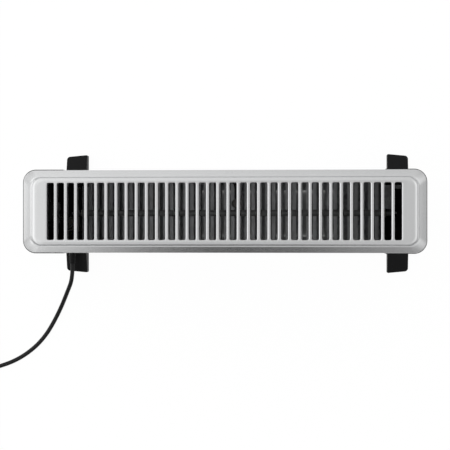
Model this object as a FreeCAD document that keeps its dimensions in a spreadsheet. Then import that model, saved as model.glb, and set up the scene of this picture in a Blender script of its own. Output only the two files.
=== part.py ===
"""A free-standing convector heater as a parametric document, in millimetres.

X runs along the heater with its control end at +X, Y runs from the front to the rear,
and Z is up from the floor.
"""

import FreeCAD, Part
import math
import os
import Sketcher
from FreeCAD import Placement, Rotation, Vector

SIZES = {
    # Casing
    "body_length": 595.0,
    "body_depth": 124.0,
    "body_height": 385.0,
    "foot_height": 30.0,
    # Top cover
    "rim_wall": 0.9,
    "cover_gap": 0.2,
    "cover_corner": 18.0,
    "cover_wall": 2.5,
    "skirt_height": 10.0,
    "border_width": 11.5,
    "border_rise": 4.2,
    "border_round": 2.0,
    "panel_corner": 14.0,
    "step_rise": 4.8,
    "step_draft": 25.0,
    "step_round": 1.5,
    "ridge_round": 3.0,
    "slot_count": 35,
    "slot_row_margin": 70.0,
    "slat_width": 4.6,
    "slot_end_margin": 40.0,
    "slot_corner": 1.5,
    "slot_flare": 0.8,
    "slat_depth": 10.5,
    # End caps
    "cap_length": 60.0,
    "cap_wall": 2.5,
    "cap_floor": 3.0,
    "cap_fit": 0.2,
    # Front and rear sheets
    "sheet_gauge": 0.8,
    "sheet_inset": 0.5,
    "sheet_bend": 1.0,
    "fold_width": 12.0,
    "joggle_run": 2.0,
    "joggle_gap": 0.5,
    "joggle_lap": 12.0,
    "vent_count": 20,
    "vent_row_margin": 155.0,
    "vent_width": 16.0,
    "vent_height": 5.0,
    "vent_low_row": 62.0,
    "vent_row_step": 14.0,
    # Base tray
    "tray_gauge": 1.0,
    "tray_inset": 41.5,
    "tray_lip": 10.0,
    "tray_gap": 0.3,
    "inlet_count": 26,
    "inlet_row_margin": 96.0,
    "inlet_width": 8.0,
    "inlet_end_margin": 44.0,
    # Feet
    "foot_inset": 15.5,
    "foot_width": 36.0,
    "foot_length": 208.0,
    "foot_clear": 2.5,
    "foot_nose": 19.0,
    "foot_saddle_margin": 4.0,
    "foot_slant": 3.4,
    "foot_outer_round": 6.0,
    "foot_inner_round": 2.0,
    "foot_top_round": 1.5,
    "foot_wall": 3.0,
    "foot_roof": 4.0,
    "foot_rib": 3.0,
    "foot_bay": 39.0,
    "pad_radius": 10.0,
    "pad_height": 4.0,
    "pad_inset": 20.0,
    "pad_fit": 0.15,
    # Screws
    "foot_screw_radius": 2.0,
    "foot_screw_head": 3.8,
    "foot_screw_head_height": 2.4,
    "foot_screw_length": 12.0,
    "foot_screw_inset": 8.0,
    "foot_screw_margin": 16.0,
    "casing_screw_radius": 1.75,
    "casing_screw_head": 3.2,
    "casing_screw_head_height": 1.4,
    "casing_screw_length": 9.0,
    "casing_screw_inset": 7.0,
    "casing_screw_low": 80.0,
    "casing_screw_step": 120.0,
    "casing_screw_count": 3,
    "screw_clearance": 0.2,
    # Heating element
    "rod_height": 125.0,
    "rod_radius": 5.2,
    "rod_overhang": 12.0,
    "rod_seal_radius": 3.6,
    "rod_seal_length": 3.0,
    "rod_stud_radius": 2.0,
    "rod_stud_length": 7.0,
    "fin_count": 43,
    "fin_row_margin": 9.8,
    "fin_gauge": 0.6,
    "fin_height": 40.0,
    "fin_side_gap": 10.0,
    "rod_fit": 0.05,
    "bracket_inset": 47.5,
    "bracket_gauge": 1.2,
    "bracket_side_gap": 16.0,
    "bracket_rise": 16.0,
    "bracket_toe": 14.0,
    "flange_reach": 14.0,
    "flange_start": 6.5,
    "ear_reach": 31.0,
    "ear_depth": 6.0,
    "bush_neck_radius": 6.8,
    "bush_flange_radius": 8.5,
    "bush_flange": 2.0,
    "bush_nose": 3.0,
    "bush_fit": 0.1,
    "cutout_offset": 16.0,
    "cutout_radius": 6.0,
    "cutout_flange_radius": 7.5,
    "cutout_flange": 1.0,
    "cutout_height": 6.0,
    # Controls
    "window_drop": 78.0,
    "window_height": 110.0,
    "window_width": 44.0,
    "window_corner": 6.0,
    "tray_fit": 0.2,
    "tray_wall": 1.8,
    "tray_floor": 2.0,
    "tray_recess": 8.5,
    "tray_flange": 3.0,
    "tray_flange_gauge": 2.0,
    "knob_height": 290.0,
    "knob_radius": 17.0,
    "knob_depth": 10.0,
    "knob_gap": 0.4,
    "knob_wall": 2.0,
    "knob_taper": 1.5,
    "knob_bevel": 1.0,
    "knob_boss_radius": 6.0,
    "knob_groove_count": 24,
    "knob_groove_radius": 1.1,
    "knob_groove_length": 7.0,
    "knob_mark_width": 2.0,
    "knob_mark_depth": 0.6,
    "knob_rest_turn": 135.0,
    "shaft_radius": 3.0,
    "shaft_fit": 0.05,
    "shaft_length": 28.6,
    "shaft_end_gap": 0.4,
    "shaft_panel_gap": 0.4,
    "thermostat_depth": 24.0,
    "thermostat_size": 28.0,
    "lamp_drop": 28.0,
    "lamp_radius": 3.0,
    "lamp_flange_radius": 4.0,
    "lamp_flange": 0.8,
    "lamp_dome": 1.4,
    "lamp_body": 9.0,
    "lamp_fit": 0.1,
    "switch_drop": 52.0,
    "switch_spacing": 20.0,
    "switch_width": 13.6,
    "switch_length": 20.6,
    "switch_depth": 19.0,
    "switch_bezel": 1.7,
    "switch_bezel_gauge": 1.4,
    "switch_wall": 1.5,
    "switch_fit": 0.2,
    "cavity_depth": 9.4,
    "rocker_width": 10.0,
    "rocker_length": 15.8,
    "rocker_end_rise": 5.2,
    "rocker_mid_rise": 4.0,
    "rocker_drop": 3.0,
    "rocker_tilt": 8.0,
    "pivot_depth": 4.4,
    "pin_radius": 1.2,
    "pin_length": 12.4,
    "pin_fit": 0.06,
    "pin_end_gap": 0.3,
    # Supply
    "cord_radius": 3.7,
    "gland_inset": 11.5,
    "gland_height": 42.0,
    "gland_radius": 8.0,
    "gland_flange": 2.5,
    "gland_neck_radius": 5.5,
    "gland_neck_fit": 0.1,
    "gland_boss_radius": 10.0,
    "gland_boss_length": 14.0,
    "gland_root_radius": 6.4,
    "gland_tip_radius": 4.7,
    "gland_sleeve": 23.5,
    "tail_length": 8.0,
    "core_radius": 1.2,
    "core_spacing": 3.0,
    "core_length": 6.0,
    "terminal_length": 26.0,
    "terminal_depth": 26.0,
    "terminal_height": 14.0,
    "terminal_well_radius": 2.6,
    "terminal_well_depth": 5.0,
    "terminal_pitch": 8.0,
    "wire_radius": 1.1,
    "wire_bend": 6.0,
    "lead_spacing": 3.0,
    # Coil of the spare cord, and the plug on its end
    "coil_inner_radius": 29.0,
    "coil_turn_pitch": 9.2,
    "coil_layer_pitch": 8.6,
    "coil_turns_in": 2.5,
    "coil_turns_out": 2.25,
    "coil_lift": 1.8,
    "coil_tail": 30.0,
    "tie_width": 6.0,
    "tie_gauge": 1.2,
    "tie_slack": 0.5,
    "plug_radius": 17.5,
    "plug_body": 30.0,
    "plug_shoulder": 6.0,
    "plug_tail": 22.0,
    "plug_neck_radius": 8.0,
    "plug_tip_radius": 4.6,
    "plug_axis_height": 18.0,
    "plug_pin_radius": 2.4,
    "plug_pin_length": 19.0,
    "plug_pin_spacing": 19.0,
}

# The free stretch of the cord in plan, from the gland's tip to the coil.
CORD_PLAN = (
    (0.0, 0.0),
    (0.0, 26.0),
    (11.5, 50.0),
    (25.0, 76.0),
    (39.0, 102.0),
    (55.0, 129.0),
    (77.0, 153.0),
    (108.0, 174.0),
    (144.0, 187.0),
    (178.0, 194.0),
    (192.6, 194.0),
)
# How far each of its points has come down from the gland to the floor, as a share.
CORD_FALL = (0.0, 0.0, 0.3133, 0.7833, 1.0, 1.0, 1.0, 1.0, 1.0, 1.0, 1.0)
CORD_LIFTED_POINTS = 2
ROUTE_ARC_SHARE = 0.45


class Size:
    """A length kept both as a number and as the sheet expression that drives it."""

    def __init__(self, number, text):
        self.number = float(number)
        self.text = text

    def __add__(self, other):
        other = as_size(other)
        return Size(self.number + other.number, f"({self.text} + {other.text})")

    def __sub__(self, other):
        other = as_size(other)
        return Size(self.number - other.number, f"({self.text} - {other.text})")

    def __mul__(self, other):
        other = as_size(other)
        return Size(self.number * other.number, f"({self.text} * {other.text})")

    def __truediv__(self, other):
        other = as_size(other)
        return Size(self.number / other.number, f"({self.text} / {other.text})")

    def __radd__(self, other):
        return as_size(other) + self

    def __rsub__(self, other):
        return as_size(other) - self

    def __rmul__(self, other):
        return as_size(other) * self

    def __neg__(self):
        return as_size(-1) * self


def as_size(value):
    """Turns a plain number into a size."""
    if isinstance(value, Size):
        return value
    return Size(value, f"({value:g})")


class SheetSizes:
    """Reads the sheet's cells by their aliases, as sizes."""

    def __init__(self, sheet):
        self.sheet = sheet

    def __getattr__(self, alias):
        return Size(getattr(self.sheet, alias), f"{self.sheet.Name}.{alias}")


def make_sheet():
    """Writes the driving dimensions into a spreadsheet, one aliased cell each."""
    sheet = DOCUMENT.addObject("Spreadsheet::Sheet", "Sizes")
    for row, (alias, value) in enumerate(SIZES.items(), start=1):
        sheet.set(f"A{row}", alias)
        sheet.set(f"B{row}", str(value))
        sheet.setAlias(f"B{row}", alias)
    DOCUMENT.recompute()
    return sheet


DOCUMENT = FreeCAD.newDocument("convector_heater")
S = SheetSizes(make_sheet())
NODES = []


def bind(thing, name, size):
    """Drives one property of an object by a size."""
    thing.setExpression(name, as_size(size).text)


def keep(thing, label):
    """Lists an object as one of the heater's pieces."""
    thing.Label = label
    NODES.append(thing)
    return thing


def new_body(label):
    """Starts the body of one piece."""
    return keep(DOCUMENT.addObject("PartDesign::Body", label), label)


def origin_plane(body, role):
    """Finds a plane of the body's own origin."""
    return next(item for item in body.Origin.OriginFeatures if item.Role == role)


def sketch_on(body, role, name, offset):
    """Starts a sketch on an origin plane, moved by an offset in the plane's own directions."""
    sketch = body.newObject("Sketcher::SketchObject", name)
    sketch.AttachmentSupport = [(origin_plane(body, role), "")]
    sketch.MapMode = "FlatFace"
    for axis, size in zip("xyz", offset):
        bind(sketch, f"AttachmentOffset.Base.{axis}", size)
    return sketch


def level_sketch(body, name, height):
    """Starts a sketch that lies flat at a height."""
    return sketch_on(body, "XY_Plane", name, (0, 0, height))


def end_sketch(body, name, x):
    """Starts a sketch across the heater's length, with Y to the right and Z up."""
    return sketch_on(body, "YZ_Plane", name, (0, 0, x))


def face_sketch(body, name, y):
    """Starts a sketch along the heater's face, with X to the right and Z up; it faces the front."""
    return sketch_on(body, "XZ_Plane", name, (0, 0, -as_size(y)))


def drive(sketch, kind, first, first_end, second, second_end, size):
    """Adds a driven dimension between two points of a sketch."""
    size = as_size(size)
    rule = Sketcher.Constraint(kind, first, first_end, second, second_end, size.number)
    bind(sketch, f"Constraints[{sketch.addConstraint(rule)}]", size)


def locate(sketch, line, end, x=None, y=None):
    """Places one end of a line from the sketch's origin."""
    for kind, size, axis in (("DistanceX", x, -2), ("DistanceY", y, -1)):
        if size is None:
            continue
        if as_size(size).number == 0:
            sketch.addConstraint(Sketcher.Constraint("PointOnObject", line, end, axis))
        else:
            drive(sketch, kind, -1, 1, line, end, size)


def join(sketch, first, second):
    """Joins the end of one line to the start of the next."""
    sketch.addConstraint(Sketcher.Constraint("Coincident", first, 2, second, 1))


def polygon(sketch, points):
    """Adds a closed outline of straight lines through points given as sizes."""
    ends = [Vector(as_size(x).number, as_size(y).number, 0) for x, y in points]
    lines = [sketch.addGeometry(Part.LineSegment(a, b)) for a, b in zip(ends, ends[1:] + ends[:1])]
    for line, following in zip(lines, lines[1:] + lines[:1]):
        join(sketch, line, following)
    for line, (x, y) in zip(lines, points):
        locate(sketch, line, 1, x, y)


ALL_CORNERS = (True, True, True, True)


def rectangle(sketch, x_span, y_span, radius=None, rounded=ALL_CORNERS):
    """Adds a rectangle with the chosen corners rounded: low-low, high-low, high-high, low-high."""
    x_low, x_high = (as_size(x).number for x in x_span)
    y_low, y_high = (as_size(y).number for y in y_span)
    r = as_size(radius).number if radius is not None else 0.0
    flags = rounded if radius is not None else (False,) * 4
    corners = (Vector(x_low, y_low), Vector(x_high, y_low), Vector(x_high, y_high), Vector(x_low, y_high))
    along = (Vector(1, 0), Vector(0, 1), Vector(-1, 0), Vector(0, -1))
    lines = []
    for k, direction in enumerate(along):
        start = corners[k] + direction * (r if flags[k] else 0.0)
        end = corners[(k + 1) % 4] - direction * (r if flags[(k + 1) % 4] else 0.0)
        lines.append(sketch.addGeometry(Part.LineSegment(start, end)))
        sketch.addConstraint(Sketcher.Constraint("Vertical" if k % 2 else "Horizontal", lines[k]))
    arcs = []
    for k in range(4):
        before, after = lines[k - 1], lines[k]
        if not flags[k]:
            join(sketch, before, after)
            continue
        centre = corners[k] + (along[k] - along[k - 1]) * r
        start_angle = math.pi * (1 + 0.5 * k)
        circle = Part.Circle(centre, Vector(0, 0, 1), r)
        arc = sketch.addGeometry(Part.ArcOfCircle(circle, start_angle, start_angle + math.pi / 2))
        sketch.addConstraint(Sketcher.Constraint("Tangent", before, 2, arc, 1))
        sketch.addConstraint(Sketcher.Constraint("Tangent", arc, 2, after, 1))
        if arcs:
            sketch.addConstraint(Sketcher.Constraint("Equal", arcs[0], arc))
        else:
            index = sketch.addConstraint(Sketcher.Constraint("Radius", arc, r))
            bind(sketch, f"Constraints[{index}]", radius)
        arcs.append(arc)
    bottom, right, top, left = lines
    locate(sketch, left, 1, x=x_span[0])
    locate(sketch, right, 1, x=x_span[1])
    locate(sketch, bottom, 1, y=y_span[0])
    locate(sketch, top, 1, y=y_span[1])


def circle(sketch, x, y, radius):
    """Adds a circle."""
    centre = Vector(as_size(x).number, as_size(y).number, 0)
    shape = sketch.addGeometry(Part.Circle(centre, Vector(0, 0, 1), as_size(radius).number))
    locate(sketch, shape, 3, x, y)
    index = sketch.addConstraint(Sketcher.Constraint("Radius", shape, as_size(radius).number))
    bind(sketch, f"Constraints[{index}]", radius)


def extrude(body, kind, sketch, length, flip, symmetric):
    """Adds a pad or a pocket and brings the body up to date."""
    feature = body.newObject(f"PartDesign::{kind}", f"{sketch.Name}_{kind.lower()}")
    feature.Profile = sketch
    bind(feature, "Length", length)
    feature.Reversed = flip
    if symmetric:
        feature.SideType = "Symmetric"
    DOCUMENT.recompute()
    return feature


def pad(body, sketch, length, flip=False, symmetric=False):
    """Adds material from a sketch, along its normal unless flipped."""
    return extrude(body, "Pad", sketch, length, flip, symmetric)


def pocket(body, sketch, length, flip=False, symmetric=False):
    """Cuts away material from a sketch, against its normal unless flipped."""
    before = body.Shape.Volume
    feature = extrude(body, "Pocket", sketch, length, flip, symmetric)
    if not feature.Shape.Volume < before:
        raise ValueError(f"{feature.Name} cuts nothing")
    return feature


def loft(body, kind, lower, upper):
    """Adds or cuts a ruled solid between two sketches."""
    feature = body.newObject(f"PartDesign::{kind}", f"{lower.Name}_loft")
    feature.Profile = lower
    feature.Sections = [upper]
    feature.Ruled = True
    DOCUMENT.recompute()
    return feature


def row(body, name, originals, role, pitch, count):
    """Repeats features in a row along an origin axis."""
    feature = body.newObject("PartDesign::LinearPattern", name)
    feature.Originals = originals
    feature.Direction = (origin_plane(body, role), [""])
    bind(feature, "Length", as_size(pitch) * (as_size(count) - 1))
    bind(feature, "Occurrences", count)
    body.Tip = feature
    DOCUMENT.recompute()
    return feature


def round_edges(body, name, radius, chosen):
    """Rounds the edges of the body's last shape that a test picks."""
    base = body.Tip
    names = [f"Edge{i}" for i, edge in enumerate(base.Shape.Edges, start=1) if chosen(edge)]
    if not names:
        raise ValueError(f"{name} finds no edge")
    feature = body.newObject("PartDesign::Fillet", name)
    feature.Base = (base, names)
    bind(feature, "Radius", radius)
    DOCUMENT.recompute()
    return feature


CLOSE = 1e-4


def near(first, second):
    """Says whether two plain lengths agree."""
    return abs(first - second) < CLOSE


def at_level(height):
    """Picks edges that lie flat at a height."""
    z = height.number
    return lambda edge: near(edge.BoundBox.ZMin, z) and near(edge.BoundBox.ZMax, z)


def upright_at(*places):
    """Picks upright edges that stand at one of some places in plan."""
    def chosen(edge):
        box = edge.BoundBox
        upright = box.ZLength > CLOSE and box.XLength < CLOSE and box.YLength < CLOSE
        return upright and any(near(box.XMin, x) and near(box.YMin, y) for x, y in places)
    return chosen


def lengthwise_at(*places):
    """Picks edges along X that run through one of some places in Y and Z."""
    def chosen(edge):
        box = edge.BoundBox
        along = box.XLength > CLOSE and box.YLength < CLOSE and box.ZLength < CLOSE
        return along and any(near(box.YMin, y) and near(box.ZMin, z) for y, z in places)
    return chosen


REVOLVE_PLANES = {"X": ("XZ_Plane", "H_Axis"), "Y": ("YZ_Plane", "H_Axis"), "Z": ("XZ_Plane", "V_Axis")}


def turned_solid(body, axis, centre, profile):
    """Turns (distance along the axis, radius) points about an axis through a centre."""
    x, y, z = (as_size(value) for value in centre)
    offsets = {"X": (0, z, -y), "Y": (0, z, x), "Z": (x, 0, -y)}
    role, line = REVOLVE_PLANES[axis]
    sketch = sketch_on(body, role, f"{body.Name}_profile", offsets[axis])
    points = [(radius, along) for along, radius in profile] if axis == "Z" else profile
    polygon(sketch, points)
    feature = body.newObject("PartDesign::Revolution", f"{body.Name}_turning")
    feature.Profile = sketch
    feature.ReferenceAxis = (sketch, [line])
    DOCUMENT.recompute()
    return feature


def turned(label, axis, centre, profile):
    """Makes a piece that is turned about one axis."""
    body = new_body(label)
    turned_solid(body, axis, centre, profile)
    return body


def group(label, members):
    """Makes one piece of several separate solids."""
    compound = DOCUMENT.addObject("Part::Compound", label)
    compound.Links = members
    return keep(compound, label)


def cylinder(name, start, direction, radius, length):
    """Makes a plain cylinder that starts at a point and runs in a direction."""
    solid = DOCUMENT.addObject("Part::Cylinder", name)
    bind(solid, "Radius", radius)
    bind(solid, "Height", length)
    solid.Placement = Placement(Vector(), Rotation(Vector(0, 0, 1), direction))
    for axis, size in zip("xyz", start):
        bind(solid, f"Placement.Base.{axis}", size)
    return solid


def screw(name, seat, direction, radius, head_radius, head_height, length):
    """Makes a screw whose head stands on a seat and whose shank runs in a direction."""
    back = [as_size(s) - head_height * d for s, d in zip(seat, direction)]
    head = cylinder(f"{name}_head", back, direction, head_radius, head_height)
    shank = cylinder(f"{name}_shank", seat, direction, radius, length)
    whole = DOCUMENT.addObject("Part::Fuse", name)
    whole.Base = head
    whole.Tool = shank
    return whole


def sized(*sizes):
    """Turns three sizes into a point."""
    return Vector(*(as_size(size).number for size in sizes))


def side_span(side, inner, outer):
    """Orders a span of X on the heater's left (-1) or right (+1) side."""
    return (inner, outer) if side > 0 else (-outer, -inner)


def spread(size):
    """Gives the span of a size centred on the origin."""
    return (-(size / 2), size / 2)


UP = Vector(0, 0, 1)
RIGHT = Vector(1, 0, 0)
FORWARD = Vector(0, -1, 0)
BACKWARD = Vector(0, 1, 0)

# Places that several pieces share.
half_length = S.body_length / 2
half_depth = S.body_depth / 2
cover_half_x = half_length - S.rim_wall - S.cover_gap
cover_half_y = half_depth - S.rim_wall - S.cover_gap
cover_base = S.body_height - S.step_rise - S.border_rise - S.skirt_height
border_foot = cover_base + S.skirt_height
step_foot = border_foot + S.border_rise
cap_start = half_length - S.cap_length
cap_corner = S.cover_corner + S.cover_gap + S.rim_wall
cap_inner_x = half_length - S.cap_wall
cap_inner_y = half_depth - S.cap_wall
floor_top = S.foot_height + S.cap_floor
sheet_face = cover_half_y - S.sheet_inset
lap_face = cap_inner_y - S.cap_fit
joggle_end = cap_start - S.joggle_gap
joggle_start = joggle_end - S.joggle_run
tray_top = floor_top + S.tray_gauge
slot_pitch = (S.body_length - S.slot_row_margin) / S.slot_count
slot_width = slot_pitch - S.slat_width
slot_length = S.body_depth - S.slot_end_margin
vent_pitch = (S.body_length - S.vent_row_margin) / S.vent_count
tray_length = S.body_length - 2 * S.tray_inset
inlet_pitch = (tray_length - S.inlet_row_margin) / S.inlet_count
inlet_length = S.body_depth - S.inlet_end_margin
foot_x = half_length - S.foot_inset
foot_screw_x = foot_x - S.foot_screw_inset
foot_screw_y = half_depth - S.foot_screw_margin
pad_y = S.foot_length / 2 - S.pad_inset
casing_screw_x = cap_start + S.casing_screw_inset
bracket_x = half_length - S.bracket_inset
bracket_width = S.body_depth - 2 * S.bracket_side_gap
rod_half = bracket_x + S.rod_overhang
fin_pitch = (2 * bracket_x - S.fin_row_margin) / S.fin_count
fin_flange = fin_pitch / 2
fin_width = S.body_depth - 2 * S.fin_side_gap
panel_floor_x = half_length - S.tray_recess
panel_back_x = panel_floor_x - S.tray_floor
switch_back_x = panel_floor_x - S.switch_depth
bezel_front_x = panel_floor_x + S.switch_bezel_gauge
pivot_x = bezel_front_x - S.pivot_depth
window_low = S.knob_height - S.window_drop
window_top = window_low + S.window_height
lamp_height = S.knob_height - S.lamp_drop
switch_height = S.knob_height - S.switch_drop
gland_x = half_length - S.gland_inset
gland_tip = half_depth + S.gland_flange + S.gland_sleeve
terminal_rear = half_depth - S.gland_boss_length - S.gland_flange - S.tail_length - S.core_length


def casing_screw_heights():
    """Gives the heights of the screws up each end cap."""
    count = int(S.casing_screw_count.number)
    return [S.casing_screw_low + S.casing_screw_step * k for k in range(count)]


def make_top_grille():
    """Moulded top cover: skirt, sloping border, raised panel and its row of slots."""
    body = new_body("top_grille")

    def outline(name, height, inset, corner):
        sketch = level_sketch(body, name, height)
        x_span = (inset - cover_half_x, cover_half_x - inset)
        y_span = (inset - cover_half_y, cover_half_y - inset)
        rectangle(sketch, x_span, y_span, corner)
        return sketch

    none = as_size(0)
    pad(body, outline("skirt", cover_base, none, S.cover_corner), S.skirt_height)
    border_low = outline("border_low", border_foot, none, S.cover_corner)
    border_high = outline("border_high", step_foot, S.border_width, S.panel_corner)
    loft(body, "AdditiveLoft", border_low, border_high)
    raised = pad(body, outline("raised_panel", step_foot, S.border_width, S.panel_corner), S.step_rise)
    bind(raised, "TaperAngle", -S.step_draft)
    DOCUMENT.recompute()
    round_edges(body, "border_rounding", S.border_round, at_level(border_foot))
    round_edges(body, "step_rounding", S.step_round, at_level(step_foot))
    round_edges(body, "ridge_rounding", S.ridge_round, at_level(S.body_height))
    cavity = outline("cavity", cover_base, S.cover_wall, S.cover_corner - S.cover_wall)
    pocket(body, cavity, S.body_height - cover_base - S.slat_depth, flip=True)

    first_slot = -(slot_pitch * (S.slot_count - 1) / 2)

    def slot_outline(name, height, growth):
        sketch = level_sketch(body, name, height)
        half_width = slot_width / 2 + growth
        half_slot = slot_length / 2 + growth
        x_span = (first_slot - half_width, first_slot + half_width)
        rectangle(sketch, x_span, (-half_slot, half_slot), S.slot_corner + growth)
        return sketch

    slot = pocket(body, slot_outline("slot", S.body_height, none), S.slat_depth + S.cover_wall)
    flare_low = slot_outline("flare_low", S.body_height - S.slot_flare, none)
    flare_high = slot_outline("flare_high", S.body_height, S.slot_flare)
    flare = loft(body, "SubtractiveLoft", flare_low, flare_high)
    row(body, "slot_row", [slot, flare], "X_Axis", slot_pitch, S.slot_count)


def make_end_cap(side, label):
    """Moulded end: a walled bay with a floor, a ledge under the cover's skirt and a thin rim round it."""
    body = new_body(label)
    outer_corners = (side < 0, side > 0, side > 0, side < 0)

    def outline(name, height, inner, wall):
        sketch = level_sketch(body, name, height)
        x_span = side_span(side, inner, half_length - wall)
        y_span = (wall - half_depth, half_depth - wall)
        rectangle(sketch, x_span, y_span, cap_corner - wall, outer_corners)
        return sketch

    open_side = cap_start - S.cap_wall
    pad(body, outline("shell", S.foot_height, cap_start, as_size(0)), border_foot - S.foot_height)
    pocket(body, outline("bay", border_foot, open_side, S.cap_wall), border_foot - floor_top)
    pocket(body, outline("rim", border_foot, open_side, S.rim_wall), S.skirt_height)
    foot_holes = level_sketch(body, "foot_holes", floor_top)
    for end in (-1, 1):
        hole = S.foot_screw_radius + S.screw_clearance
        circle(foot_holes, side * foot_screw_x, end * foot_screw_y, hole)
    pocket(body, foot_holes, S.cap_floor)
    for name, radius, depth in (
        ("screw_bores", S.casing_screw_radius + S.screw_clearance, S.cap_wall),
        ("screw_seats", S.casing_screw_head + S.screw_clearance, S.casing_screw_head_height),
    ):
        bores = face_sketch(body, name, half_depth)
        for height in casing_screw_heights():
            circle(bores, side * casing_screw_x, height, radius)
        pocket(body, bores, depth, flip=True)
    return body


def make_right_end_cap():
    """The control end also has a window for the control panel and a boss for the cord's gland."""
    body = make_end_cap(1, "right_end_cap")
    window = end_sketch(body, "window", half_length)
    rectangle(window, spread(S.window_width), (window_low, window_top), S.window_corner)
    pocket(body, window, S.cap_wall)
    boss = face_sketch(body, "gland_boss", half_depth)
    circle(boss, gland_x, S.gland_height, S.gland_boss_radius)
    pad(body, boss, S.gland_boss_length)
    bore = face_sketch(body, "gland_bore", half_depth)
    circle(bore, gland_x, S.gland_height, S.gland_neck_radius + S.gland_neck_fit)
    pocket(body, bore, S.gland_boss_length, flip=True)


def make_sheet_panel(side, label):
    """Folded sheet of the front (-1) or rear (+1), with joggled sides that slip inside the end caps."""
    body = new_body(label)
    foot = floor_top - S.sheet_gauge
    inner = sheet_face - S.sheet_gauge
    fold = sheet_face - S.fold_width
    section = end_sketch(body, "section", 0)
    polygon(section, [
        (side * sheet_face, foot),
        (side * sheet_face, cover_base),
        (side * fold, cover_base),
        (side * fold, cover_base - S.sheet_gauge),
        (side * inner, cover_base - S.sheet_gauge),
        (side * inner, floor_top),
        (side * fold, floor_top),
        (side * fold, foot),
    ])
    pad(body, section, 2 * joggle_start, symmetric=True)
    outer_y, inner_y = side * sheet_face.number, side * inner.number
    low, high, gauge = foot.number, cover_base.number, S.sheet_gauge.number
    inside = lengthwise_at((inner_y, low + gauge), (inner_y, high - gauge))
    round_edges(body, "inner_bends", S.sheet_bend, inside)
    outside = lengthwise_at((outer_y, low), (outer_y, high))
    round_edges(body, "outer_bends", S.sheet_bend + S.sheet_gauge, outside)

    lap_end = cap_start + S.joggle_lap
    edge = floor_top + S.cap_fit
    plan = level_sketch(body, "joggles", edge)
    for end in (-1, 1):
        polygon(plan, [
            (end * joggle_start, side * sheet_face),
            (end * joggle_end, side * lap_face),
            (end * lap_end, side * lap_face),
            (end * lap_end, side * (lap_face - S.sheet_gauge)),
            (end * joggle_end, side * (lap_face - S.sheet_gauge)),
            (end * joggle_start, side * inner),
        ])
    pad(body, plan, cover_base - S.cap_fit - edge)
    return body


def make_rear_panel():
    """The rear sheet has air slots low down, and holes for the screws of the end caps."""
    body = make_sheet_panel(1, "rear_panel")
    vents = face_sketch(body, "vents", sheet_face)
    first = -(vent_pitch * (S.vent_count - 1) / 2)
    x_span = (first - S.vent_width / 2, first + S.vent_width / 2)
    for k in range(2):
        middle = S.vent_low_row + S.vent_row_step * k
        y_span = (middle - S.vent_height / 2, middle + S.vent_height / 2)
        rectangle(vents, x_span, y_span, S.vent_height / 4)
    cut = pocket(body, vents, 2 * S.sheet_gauge, flip=True)
    row(body, "vent_rows", [cut], "X_Axis", vent_pitch, S.vent_count)
    holes = face_sketch(body, "screw_holes", lap_face)
    for end in (-1, 1):
        for height in casing_screw_heights():
            circle(holes, end * casing_screw_x, height, S.casing_screw_radius + S.screw_clearance)
    pocket(body, holes, 2 * S.sheet_gauge, flip=True)


def make_base_tray():
    """Floor sheet with upturned lips and air slots across it."""
    body = new_body("base_tray")
    outer = lap_face - S.sheet_gauge - S.tray_gap
    inner = outer - S.tray_gauge
    lip_top = floor_top + S.tray_lip
    section = end_sketch(body, "section", 0)
    polygon(section, [
        (-outer, floor_top),
        (outer, floor_top),
        (outer, lip_top),
        (inner, lip_top),
        (inner, tray_top),
        (-inner, tray_top),
        (-inner, lip_top),
        (-outer, lip_top),
    ])
    pad(body, section, tray_length, symmetric=True)
    first = -(inlet_pitch * (S.inlet_count - 1) / 2)
    inlet = level_sketch(body, "inlet", tray_top)
    x_span = (first - S.inlet_width / 2, first + S.inlet_width / 2)
    rectangle(inlet, x_span, spread(inlet_length), S.inlet_width / 4)
    cut = pocket(body, inlet, S.tray_gauge)
    row(body, "inlets", [cut], "X_Axis", inlet_pitch, S.inlet_count)


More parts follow.
